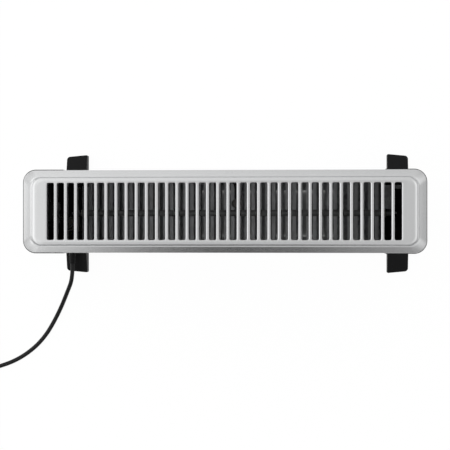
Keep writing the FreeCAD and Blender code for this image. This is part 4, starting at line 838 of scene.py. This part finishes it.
class HEATER_OT_controls(bpy.types.Operator):
    """Control panel with its thermostat knob, switches and lamp"""

    bl_idname = "heater.controls"
    bl_label = "Controls"

    knob_height = 290.0
    knob_radius = 17.0
    groove_count = 24
    groove_radius = 1.1
    lamp_height = 262.0
    switch_height = 238.0
    switch_spacing = 20.0
    pivot_x = 286.0
    panel_x = 289.0

    def knob(self, finish):
        """A rounded profile turned about the shaft's line; across the grip the radius falls to a ring of
        grooves, each a small circle about a point on the full radius."""
        base = 289.4
        top = 299.4
        full = self.knob_radius
        corners = [
            (base + 7.9, 0.0), (base + 7.9, 13.4), (base, 14.8), (base, full), (base + 2.6, full),
            (top, 15.5), (top - 0.35, 11.5), (top - 0.35, 0.0),
        ]
        profile = eased(corners, [0.5, 0.3, 0.5, 0.6, 1.1, 2.0], 6)

        def grip(along, radius, angle):
            """Radius of the knob: on the grip no more than the groove's at that angle."""
            pitch = 2 * math.pi / self.groove_count
            off = full * ((angle + pitch / 2) % pitch - pitch / 2)
            groove = full - np.sqrt(np.maximum(self.groove_radius ** 2 - off ** 2, 0))
            share = smooth_step(base + 2.7, base + 3.6, along)
            return np.where(radius > 15.0, radius - share * np.maximum(radius - groove, 0), radius)

        grid = turned(divided(profile, 4), "X", (0, 0, self.knob_height), 240, grip)
        shell = Shell().add(grid)
        shell.piece("knob_grip", finish, ("thermostat_knob",), "black_plastic", "thermostat_dial")

    def knob_mark(self, finish):
        """A bar set into the knob's face: a rounded outline carried through its thickness, and turned about
        the shaft's line to point at the scale's start."""
        corners = [(-1.0, 9.0), (-1.0, 6.0), (1.0, 6.0), (1.0, 13.6), (-1.0, 13.6), (-1.0, 9.0)]
        outline = eased(corners, [1, 1, 1, 1], 4)
        plan, across = bar(outline[:-1], 0.35, 0.12)
        turn = math.radians(135.0)
        y = plan[..., 0] * math.cos(turn) - plan[..., 1] * math.sin(turn)
        z = plan[..., 0] * math.sin(turn) + plan[..., 1] * math.cos(turn)
        grid = np.stack([299.1 + across, y, self.knob_height + z], axis=-1)
        Shell().add(grid).piece("knob_mark", finish, (), None, "thermostat_dial")

    def scale(self, finish):
        """A printed wedge round the knob that widens from the lowest to the highest setting, thin as paint:
        its width grows evenly with the angle."""
        share = np.linspace(0, 1, 100)[:, None]
        angle = np.radians(-135.0 + 270.0 * share)
        width = 0.25 + 1.35 * share
        section = np.array([(0.0, 0.0), (0.0, 0.04), (1.0, 0.04), (1.0, 0.0)])
        radius = self.knob_radius + 0.9 + width * section[None, :, 0]
        x = self.panel_x + np.repeat(section[None, :, 1], len(share), axis=0)
        grid = np.stack([x, radius * np.sin(angle), radius * np.cos(angle) + self.knob_height], axis=-1)
        first, last = (np.repeat(grid[k].mean(axis=0)[None, None], 4, axis=1) for k in (0, -1))
        grid = np.concatenate([first, grid, last])
        Shell().add(grid).piece("dial_scale", finish, (), None)

    def rocker(self, side, name, node, body, finish):
        """A profile whose face is hollow, standing out by the square of the height, carried across the switch
        with rounded ends and tipped 8 degrees about its pivot, with a pin on each side."""
        half = 7.9
        back = -3.0
        rise = np.linspace(-half, half, 17)
        face = np.stack([4.0 + 1.2 * (rise / half) ** 2, rise], axis=1)
        corners = np.vstack([[(back, 0.0), (back, -half)], face, [(back, half), (back, 0.0)]])
        radii = np.zeros(len(corners) - 2)
        radii[[0, 1, -2, -1]] = (0.4, 0.5, 0.5, 0.4)
        outline = eased(corners, radii, 3)[:-1]
        outline = outline[np.linalg.norm(outline - np.roll(outline, 1, axis=0), axis=1) > 1e-4]
        plan, across = bar(outline, 5.0, 0.5)
        cap = np.stack([plan[..., 0], across, plan[..., 1]], axis=-1)
        pin = eased([(-6.2, 0.0), (-6.2, 1.2), (6.2, 1.2), (6.2, 0.0)], [0.2, 0.2], 3)
        tilt = math.radians(8.0)
        tip = np.array([
            (math.cos(tilt), 0.0, math.sin(tilt)), (0.0, 1.0, 0.0), (-math.sin(tilt), 0.0, math.cos(tilt)),
        ])
        pivot = (self.pivot_x, side * self.switch_spacing / 2, self.switch_height)
        shell = Shell()
        for grid in (cap, turned(pin, "Y", (0, 0, 0), 20)):
            shell.add(grid @ tip.T + pivot)
        shell.piece(name, finish, (node,), "gloss_black", body)

    def lamp(self, finish):
        """A profile turned about the lamp's line: its body behind the panel, a rim, and a dome that is a
        quarter of an oval."""
        dome = np.linspace(0, RIGHT_ANGLE, 9)[1:]
        corners = [(-9.0, 0.0), (-9.0, 3.0), (0.0, 3.0), (0.0, 4.0), (0.8, 4.0), (0.8, 3.0)]
        rim = eased(corners, [0.3, 0.05, 0.15, 0.3], 4)
        crown = np.stack([0.8 + 1.4 * np.sin(dome), 3.0 * np.cos(dome)], axis=1)
        shell = Shell().add(turned(np.vstack([rim, crown]), "X", (self.panel_x, 0, self.lamp_height), 40))
        shell.piece("lamp_lens", finish, ("indicator_lamp",), "lamp_lens")

    def execute(self, context):
        colours = context.scene.heater_controls
        dress("control_panel", grained_plastic("panel_black", colours.panel, 2400.0, 0.36, 0.3))
        dress("thermostat", grained_plastic("thermostat_case", (0.012, 0.012, 0.012), 2400.0, 0.45))
        dress("thermostat_shaft", rolled_metal("shaft_steel", (0.55, 0.55, 0.55), (1.0, 0.1, 0.1), 0.3))
        white = gloss_plastic("mark_white", colours.print_tone, 0.4)
        self.knob(grained_plastic("knob_black", colours.knob, 2200.0, 0.33, 0.25))
        self.knob_mark(white)
        self.scale(white)
        switch = gloss_plastic("switch_black", (0.014, 0.014, 0.014), 0.24)
        pivot_height = self.switch_height * MM
        rocker = rocker_plastic("rocker_black", (0.016, 0.016, 0.016), pivot_height, self.switch_spacing * MM)
        for side, name in ((-1, "low_heat"), (1, "high_heat")):
            dress(f"{name}_switch", switch)
            self.rocker(side, f"{name}_rocker_cap", f"{name}_rocker", f"{name}_button", rocker)
        self.lamp(lamp_amber("lamp_amber", colours.lamp))
        return {"FINISHED"}


class HEATER_OT_wiring(bpy.types.Operator):
    """Leads inside the casing and the terminal block"""

    bl_idname = "heater.wiring"
    bl_label = "Wiring"

    neutral = [
        (268.5, 2.0, 125.0), (265.5, 1.5, 129.5), (261.0, 2.5, 131.5), (261.5, 6.5, 131.0),
        (268.0, 16.0, 127.0), (277.0, 24.5, 119.0), (280.0, 25.0, 100.0), (279.0, 20.0, 75.0),
        (278.2, 18.5, 58.0), (278.2, 18.5, 47.0),
    ]
    live = [
        (275.6, 29.3, 47.0), (275.6, 29.3, 70.0), (274.5, 30.0, 100.0), (271.0, 30.5, 125.0),
        (263.0, 30.0, 150.0), (258.5, 29.5, 175.0), (257.5, 29.5, 205.0), (258.0, 28.5, 228.0),
        (258.0, 22.0, 238.0), (260.0, 13.0, 239.5), (265.0, 10.0, 238.0), (270.0, 10.0, 238.0),
    ]
    front_lead = [
        (-4.3, -23.5, 127.2), (-4.3, -38.0, 127.6), (-3.3, -50.0, 127.4), (8.0, -53.3, 126.6),
        (60.0, -53.6, 125.2), (120.0, -53.2, 126.5), (180.0, -53.6, 125.4), (235.0, -53.3, 126.2),
        (262.0, -53.1, 130.0), (274.0, -53.1, 140.0), (275.5, -53.1, 165.0), (274.6, -53.3, 200.0),
        (275.2, -53.0, 240.0), (275.0, -53.1, 272.0), (275.0, -46.0, 286.0), (275.0, -30.0, 287.5),
        (275.0, -14.0, 287.0),
    ]
    outer_lead = [
        (-7.1, -23.5, 127.2), (-7.1, -38.0, 127.3), (-6.2, -52.0, 127.3), (5.0, -56.2, 127.0),
        (55.0, -56.0, 126.0), (115.0, -56.3, 127.4), (175.0, -56.0, 126.2), (232.0, -56.2, 127.0),
        (260.0, -56.1, 131.0), (274.0, -56.1, 143.0), (275.0, -56.1, 168.0), (275.8, -56.2, 204.0),
        (274.4, -56.0, 243.0), (275.0, -56.1, 276.0), (275.0, -47.0, 290.5), (275.0, -30.0, 291.5),
        (275.0, -14.0, 290.0),
    ]
    lead_radius = 1.1
    core_radius = 1.2
    tail = [(CORD_X, 45.5, CORD_Z), (CORD_X, 41.5, CORD_Z), (CORD_X, 37.5, CORD_Z)]
    cores = {
        "brown": (-3.0, (0.12, 0.05, 0.02)),
        "blue": (0.0, (0.02, 0.08, 0.3)),
        "green": (3.0, (0.2, 0.3, 0.03)),
    }

    def execute(self, context):
        dark = soft_sheath("lead_black", (0.014, 0.014, 0.014))
        pale = soft_sheath("lead_pale", (0.80, 0.80, 0.78))
        leads = (
            ("neutral_lead", self.neutral, pale, "neutral_wire", "pale_lead"),
            ("live_lead", self.live, dark, "live_wire", "dark_lead"),
            ("cutout_lead_front", self.front_lead, dark, "cutout_leads", "dark_lead"),
            ("cutout_lead_outer", self.outer_lead, dark, "cutout_leads", "dark_lead"),
        )
        for name, points, finish, node, slot in leads:
            flexible(name, points, self.lead_radius, finish, (node,))
        flexible("cord_tail", self.tail, CORD_RADIUS, dark, ("supply_cores",))
        for name, (off, colour) in self.cores.items():
            x = CORD_X + off
            start = (CORD_X + 0.7 * off, 38.0, CORD_Z)
            run = [start, (x, 35.5, CORD_Z + 0.3), (x, 33.5, CORD_Z), (x, 31.5, CORD_Z)]
            finish = soft_sheath(f"core_{name}", colour)
            flexible(f"core_{name}", run, self.core_radius, finish, ("supply_cores",))
        dress("terminal_block", gloss_plastic("terminal_plastic", (0.6, 0.58, 0.52), 0.4))
        return {"FINISHED"}


class HEATER_OT_cord(bpy.types.Operator):
    """Mains cord with its strain relief, tie and plug"""

    bl_idname = "heater.cord"
    bl_label = "Mains cord"

    route = [
        (CORD_X, 88.0, CORD_Z), (CORD_X, 114.0, CORD_Z), (297.5, 138.0, 30.0), (311.0, 164.0, 12.0),
        (325.0, 190.0, CORD_RADIUS), (341.0, 217.0, CORD_RADIUS), (363.0, 241.0, CORD_RADIUS),
        (394.0, 262.0, CORD_RADIUS), (430.0, 275.0, CORD_RADIUS), (464.0, 282.0, 5.5), (478.6, 282.0, 5.5),
    ]
    coil_middle = (486.0, 230.0)
    coil_inner = 29.0
    turn_spacing = 9.2
    lower_layer = 5.5
    upper_layer = 14.1
    turns_in = 2.5
    turns_up = 0.5
    turns_out = 2.25
    turn_points = 16
    plug_x = 535.7
    plug_z = 18.0

    def coil(self):
        """Turns of the spare cord: two and a half winding in, half a turn up a layer, two and a quarter out.
        The radius changes evenly with the turns; a little is added as the line runs inside its points."""
        inside = self.turns_in + self.turns_up
        count = int((inside + self.turns_out) * self.turn_points)
        turns = np.arange(1, count + 1) / self.turn_points
        out = np.maximum(turns - inside, 0)
        radius = self.coil_inner + self.turn_spacing * (np.maximum(self.turns_in - turns, 0) + out)
        radius = radius / math.cos(math.pi / self.turn_points)
        climb = smooth_step(self.turns_in, inside, turns)
        lift = smooth_step(self.turns_out - 0.5, self.turns_out, out)
        z = self.lower_layer + (self.upper_layer - self.lower_layer) * climb
        z = z + (self.plug_z - self.upper_layer) * lift
        angle = RIGHT_ANGLE - 2 * math.pi * turns
        x = self.coil_middle[0] + radius * np.cos(angle)
        y = self.coil_middle[1] + radius * np.sin(angle)
        return np.stack([x, y, z], axis=1)

    def gland(self, finish):
        """A profile turned about the cord: nut, neck, flange, and a tapered sleeve with a ring cut wherever a
        cosine of the place along it is high."""
        sleeve = np.linspace(65.2, 87.4, 120)
        taper = 6.4 + (4.7 - 6.4) * (sleeve - 64.5) / 23.5
        cut = smooth_step(0.55, 0.8, np.cos(2 * math.pi * (sleeve - 66.0) / 3.1))
        ribbed = np.stack([sleeve, taper - 0.7 * cut * smooth_step(66.5, 67.5, sleeve)], axis=1)
        corners = [
            (45.5, 0.0), (45.5, 8.0), (48.0, 8.0), (48.0, 5.5), (62.0, 5.5),
            (62.0, 8.0), (64.5, 8.0), (64.5, 6.4), (65.2, 6.35),
        ]
        head = eased(corners, [0.4, 0.4, 0.2, 0.2, 0.2, 0.7, 0.4], 4)
        tip = np.array([(87.9, 4.5), (88.0, 4.2), (87.9, 3.75), (87.0, 3.7), (87.0, 0.0)])
        profile = np.vstack([head[:-1], ribbed, tip])
        shell = Shell().add(turned(profile, "Y", (CORD_X, 0, CORD_Z), 48))
        shell.piece("strain_relief", finish, ("cord_gland",), "cord_sheath")

    def plug(self, finish):
        """A profile turned about the pins' middle line; the grip is flattened on two sides and finely ribbed
        by a cosine of the place along it, and the tail has rings cut in it as the strain relief has."""
        tail = np.linspace(199.4, 179.0, 110)
        taper = 4.7 + (8.0 - 4.7) * (200.0 - tail) / 22.0
        cut = smooth_step(0.5, 0.75, np.cos(2 * math.pi * (tail - 198.0) / 3.4))
        ringed = np.stack([tail, taper - 0.8 * cut * (1 - smooth_step(195.5, 197.0, tail))], axis=1)
        tip = np.array([(198.6, 0.0), (198.6, 3.75), (199.9, 3.8), (200.0, 4.3), (199.8, 4.6)])
        corners = [
            (179.0, 7.85), (177.5, 8.2), (171.0, 17.5), (142.0, 17.5),
            (142.0, 14.5), (142.8, 13.5), (142.8, 0.0),
        ]
        body = eased(corners, [1.5, 3.5, 1.6, 0.5, 0.3], 8)
        profile = divided(np.vstack([tip, ringed, body[1:]]), 3)

        def grip(along, radius, angle):
            """Radius of the plug: on the grip less the flat and its ribs, at the two sides."""
            flat = smooth_step(0.55, 0.95, abs(np.cos(angle)))
            share = smooth_step(173.0, 168.0, along) * smooth_step(145.0, 150.0, along)
            ribs = 0.5 + 0.5 * np.cos(2 * math.pi * along / 2.6)
            return radius - share * flat * (radius > 16.0) * (1.1 + 0.5 * ribs)

        grid = turned(profile, "Y", (self.plug_x, 0, self.plug_z), 72, grip)
        return Shell().add(grid).piece("plug_body", finish, ("mains_plug",), "cord_sheath")

    def pins(self, finish):
        """Two round pins: a profile with a rounded tip, turned about the middle line of each."""
        profile = eased([(143.0, 0.0), (143.0, 2.4), (123.0, 2.4), (123.0, 0.0)], [0.1, 2.0], 8)
        shell = Shell()
        for side in (-9.5, 9.5):
            shell.add(turned(profile, "Y", (self.plug_x + side, 0, self.plug_z), 32))
        return shell.piece("plug_pin_pair", finish, ("plug_pins",), "pin_brass")

    def tie(self, finish):
        """A flat band: a squared oval section carried round a rounded rectangle about the coil's turns."""
        angle = ring_angles(24)
        width = 3.0 * np.sign(np.cos(angle)) * abs(np.cos(angle)) ** 0.35
        growth = 0.6 + 0.6 * np.sign(np.sin(angle)) * abs(np.sin(angle)) ** 0.35
        columns = track(np.linspace(-1, 1, 9), np.linspace(-1, 1, 5), 6)
        y, z = loops(columns, 13.4 + growth, 8.5 + growth, 1.2 + growth)
        x = np.repeat(self.coil_middle[0] + width[:, None], y.shape[1], axis=1)
        grid = np.stack([x, 191.8 + y, (self.lower_layer + self.upper_layer) / 2 + z], axis=-1)
        shell = Shell().add(grid, wrap_rows=True)
        return shell.piece("coil_tie", finish, ("cord_tie",), "tie_plastic")

    def execute(self, context):
        sizes = context.scene.heater_cord
        black = soft_sheath("cord_black", sizes.colour, 0.42)
        end = [(self.plug_x, 214.0, self.plug_z), (self.plug_x, 199.5, self.plug_z)]
        points = np.vstack([self.route, self.coil(), end])
        replaced = ("mains_cord", "cord_coil")
        cord = flexible("supply_cord", points, sizes.diameter / 2 / MM, black, replaced)
        moulded = grained_plastic("moulded_black", sizes.colour, 2400.0, 0.46, 0.3, 0.20)
        self.gland(moulded)
        plug = self.plug(moulded)
        pins = self.pins(plug_pin_metal("pin_metal", (0.72, 0.70, 0.64), 0.1320))
        tie = self.tie(grained_plastic("tie_black", (0.02, 0.02, 0.02), 1500.0, 0.5))
        return {"FINISHED"}


class HEATER_OT_stage(bpy.types.Operator):
    """Pale floor, soft light and the camera"""

    bl_idname = "heater.stage"
    bl_label = "Stage"

    # half sizes and fading edge, in metres, of the painted shadow under the casing
    painted_shadow_half = (0.262, 0.034)
    painted_shadow_fade = 0.026

    def floor(self, tone):
        """A level square at height zero. Under the casing it has a painted shadow, a patch of darker tone,
        and the camera and mirrors see the rest of it as white."""
        side = 8.0
        corners = [(-side, -side, 0.0), (side, -side, 0.0), (side, side, 0.0), (-side, side, 0.0)]
        mesh = bpy.data.meshes.new("floor")
        mesh.from_pydata(corners, [], [(0, 1, 2, 3)])
        floor = bpy.data.objects.new("floor", mesh)
        bpy.context.scene.collection.objects.link(floor)
        f = Finish("floor_pale")
        seen = f.node("ShaderNodeLightPath", output="Is Camera Ray")
        mirrored = f.node("ShaderNodeLightPath", output="Is Glossy Ray")
        # mask of the painted shadow: 0 in a rectangle under the casing, rising to 1 across its fading edge
        across = abs(f.axis("Y")) - self.painted_shadow_half[1]
        beside = across.maths("MAXIMUM", across, abs(f.axis("X")) - self.painted_shadow_half[0])
        clear = beside.between(0.0, self.painted_shadow_fade)
        share = 0.94 * (seen + mirrored) * clear
        pale = (tone, tone, tone)
        # painted shadow: under the casing the floor's tone is darkened to 0.22 of itself
        colour = f.mixed(clear, shade(pale, 0.22), pale)
        paint = f.node("ShaderNodeBsdfDiffuse", None, {"Color": colour})
        glow = f.node("ShaderNodeEmission", None, {"Color": rgba(WHITE), "Strength": 1.03})
        mesh.materials.append(f.shown(f.node("ShaderNodeMixShader", None, {0: share, 1: paint, 2: glow})))

    def sky(self, level):
        """A light tent, by direction: a ceiling that brightens to the control end and is darker low beyond
        it, a brighter ring high up at both ends, a dark flag at the rear that is open towards the ends, and
        walls that are darker at the rear. The camera sees it as white."""
        world = bpy.data.worlds.new("studio")
        bpy.context.scene.world = world
        f = Finish("studio", world)
        along, across, up = (f.axis(name) for name in "XYZ")
        ceiling = 0.56 + 0.18 * along.between(-0.60, -0.15) + 0.28 * along.between(-0.05, 0.30)
        beyond = 1.0 - (up - 0.10 * abs(across)).between(0.60, 0.76)
        ceiling = ceiling - 0.38 * along.between(0.25, 0.55) * beyond
        ring = up.between(0.68, 0.80) * (1.0 - up.between(0.90, 0.985))
        ends = 0.32 * along.between(0.20, 0.50) + 0.50 * (-along).between(0.10, 0.40)
        ceiling = ceiling + ring * (0.10 + ends * (1.0 - abs(across).between(0.20, 0.50)))
        sloping = up.between(0.45, 0.60) * (1.0 - up.between(0.80, 0.88))
        control_end = along.between(0.10, 0.22) * (1.0 - across.between(0.15, 0.30) * (1.0 - sloping))
        opened = control_end + 0.55 * (-along).between(-0.04, 0.10)
        flag = 0.25 * across.between(-0.15, 0.12) + 0.75 * across.between(0.38, 0.60)
        ceiling = ceiling * (1.0 - flag * (1.0 - opened))
        wall = 0.75 + 0.25 * along.between(0.5, 0.9) - 0.50 * across.between(0.20, 0.70)
        low = 1.0 - up.between(0.12, 0.42)
        strength = level * (ceiling + low * (wall - ceiling))
        light = f.node("ShaderNodeBackground", None, {"Color": rgba(WHITE), "Strength": strength})
        white = f.node("ShaderNodeBackground", None, {"Color": rgba(WHITE), "Strength": 1.0})
        seen = f.node("ShaderNodeLightPath", output="Is Camera Ray")
        f.shown(f.node("ShaderNodeMixShader", None, {0: seen, 1: light, 2: white}), "ShaderNodeOutputWorld")

    def lamp(self, name, place, target, size, power):
        """A square soft lamp that faces a point."""
        light = bpy.data.lights.new(name, "AREA")
        light.shape = "SQUARE"
        light.size = size
        light.energy = power
        lamp = bpy.data.objects.new(name, light)
        lamp.location = place
        aim = Vector(target) - Vector(place)
        lamp.rotation_euler = aim.to_track_quat("-Z", "Y").to_euler()
        bpy.context.scene.collection.objects.link(lamp)

    def camera(self):
        """A long lens almost straight above, with the heater's rear at the foot of the picture."""
        data = bpy.data.cameras.new("camera")
        data.lens = 98.504
        data.sensor_width = 36.0
        data.clip_end = 50.0
        camera = bpy.data.objects.new("camera", data)
        lean = math.radians(3.565)
        right = (-math.cos(lean), 0.0, -math.sin(lean))
        above = (0.0, -1.0, 0.0)
        back = (-math.sin(lean), 0.0, math.cos(lean))
        place = (-0.1152, 0.0200, 2.1812)
        matrix = np.vstack([np.column_stack([right, above, back, place]), [0, 0, 0, 1]])
        camera.matrix_world = Matrix(matrix.tolist())
        bpy.context.scene.collection.objects.link(camera)
        bpy.context.scene.camera = camera

    def execute(self, context):
        light = context.scene.heater_stage
        self.floor(light.floor_tone)
        self.sky(light.sky)
        self.lamp("key", (2.4, -0.8, 1.0), (0.0, 0.0, 0.3), 2.0, light.key_power)
        self.camera()
        context.scene.view_settings.view_transform = "Standard"
        return {"FINISHED"}


class HEATER_PT_panel(bpy.types.Panel):
    """Lists the heater's pieces in the sidebar"""

    bl_idname = "HEATER_PT_panel"
    bl_label = "Convector heater"
    bl_space_type = "VIEW_3D"
    bl_region_type = "UI"
    bl_category = "Heater"

    def draw(self, context):
        for operator in OPERATORS:
            self.layout.operator(operator.bl_idname)
        for name in GROUPS:
            group = getattr(context.scene, name)
            box = self.layout.box()
            for key in group.__annotations__:
                box.prop(group, key)


GROUPS = {
    "heater_grille": GrilleSizes,
    "heater_casing": CasingColours,
    "heater_element": ElementColours,
    "heater_controls": ControlColours,
    "heater_cord": CordSizes,
    "heater_stage": StageLight,
}
OPERATORS = (
    HEATER_OT_grille,
    HEATER_OT_casing,
    HEATER_OT_feet,
    HEATER_OT_screws,
    HEATER_OT_element,
    HEATER_OT_controls,
    HEATER_OT_wiring,
    HEATER_OT_cord,
    HEATER_OT_stage,
)


def register():
    """Registers the groups of values, the operators and the panel."""
    for name, group in GROUPS.items():
        bpy.utils.register_class(group)
        setattr(bpy.types.Scene, name, bpy.props.PointerProperty(type=group))
    for operator in OPERATORS:
        bpy.utils.register_class(operator)
    bpy.utils.register_class(HEATER_PT_panel)


def unregister():
    """Takes back what register added."""
    bpy.utils.unregister_class(HEATER_PT_panel)
    for operator in reversed(OPERATORS):
        bpy.utils.unregister_class(operator)
    for name, group in reversed(GROUPS.items()):
        delattr(bpy.types.Scene, name)
        bpy.utils.unregister_class(group)


def main():
    """Makes every piece in order."""
    register()
    bpy.ops.heater.grille()
    bpy.ops.heater.casing()
    bpy.ops.heater.feet()
    bpy.ops.heater.screws()
    bpy.ops.heater.element()
    bpy.ops.heater.controls()
    bpy.ops.heater.wiring()
    bpy.ops.heater.cord()
    bpy.ops.heater.stage()
    bpy.context.view_layer.update()


if __name__ == "__main__":
    main()
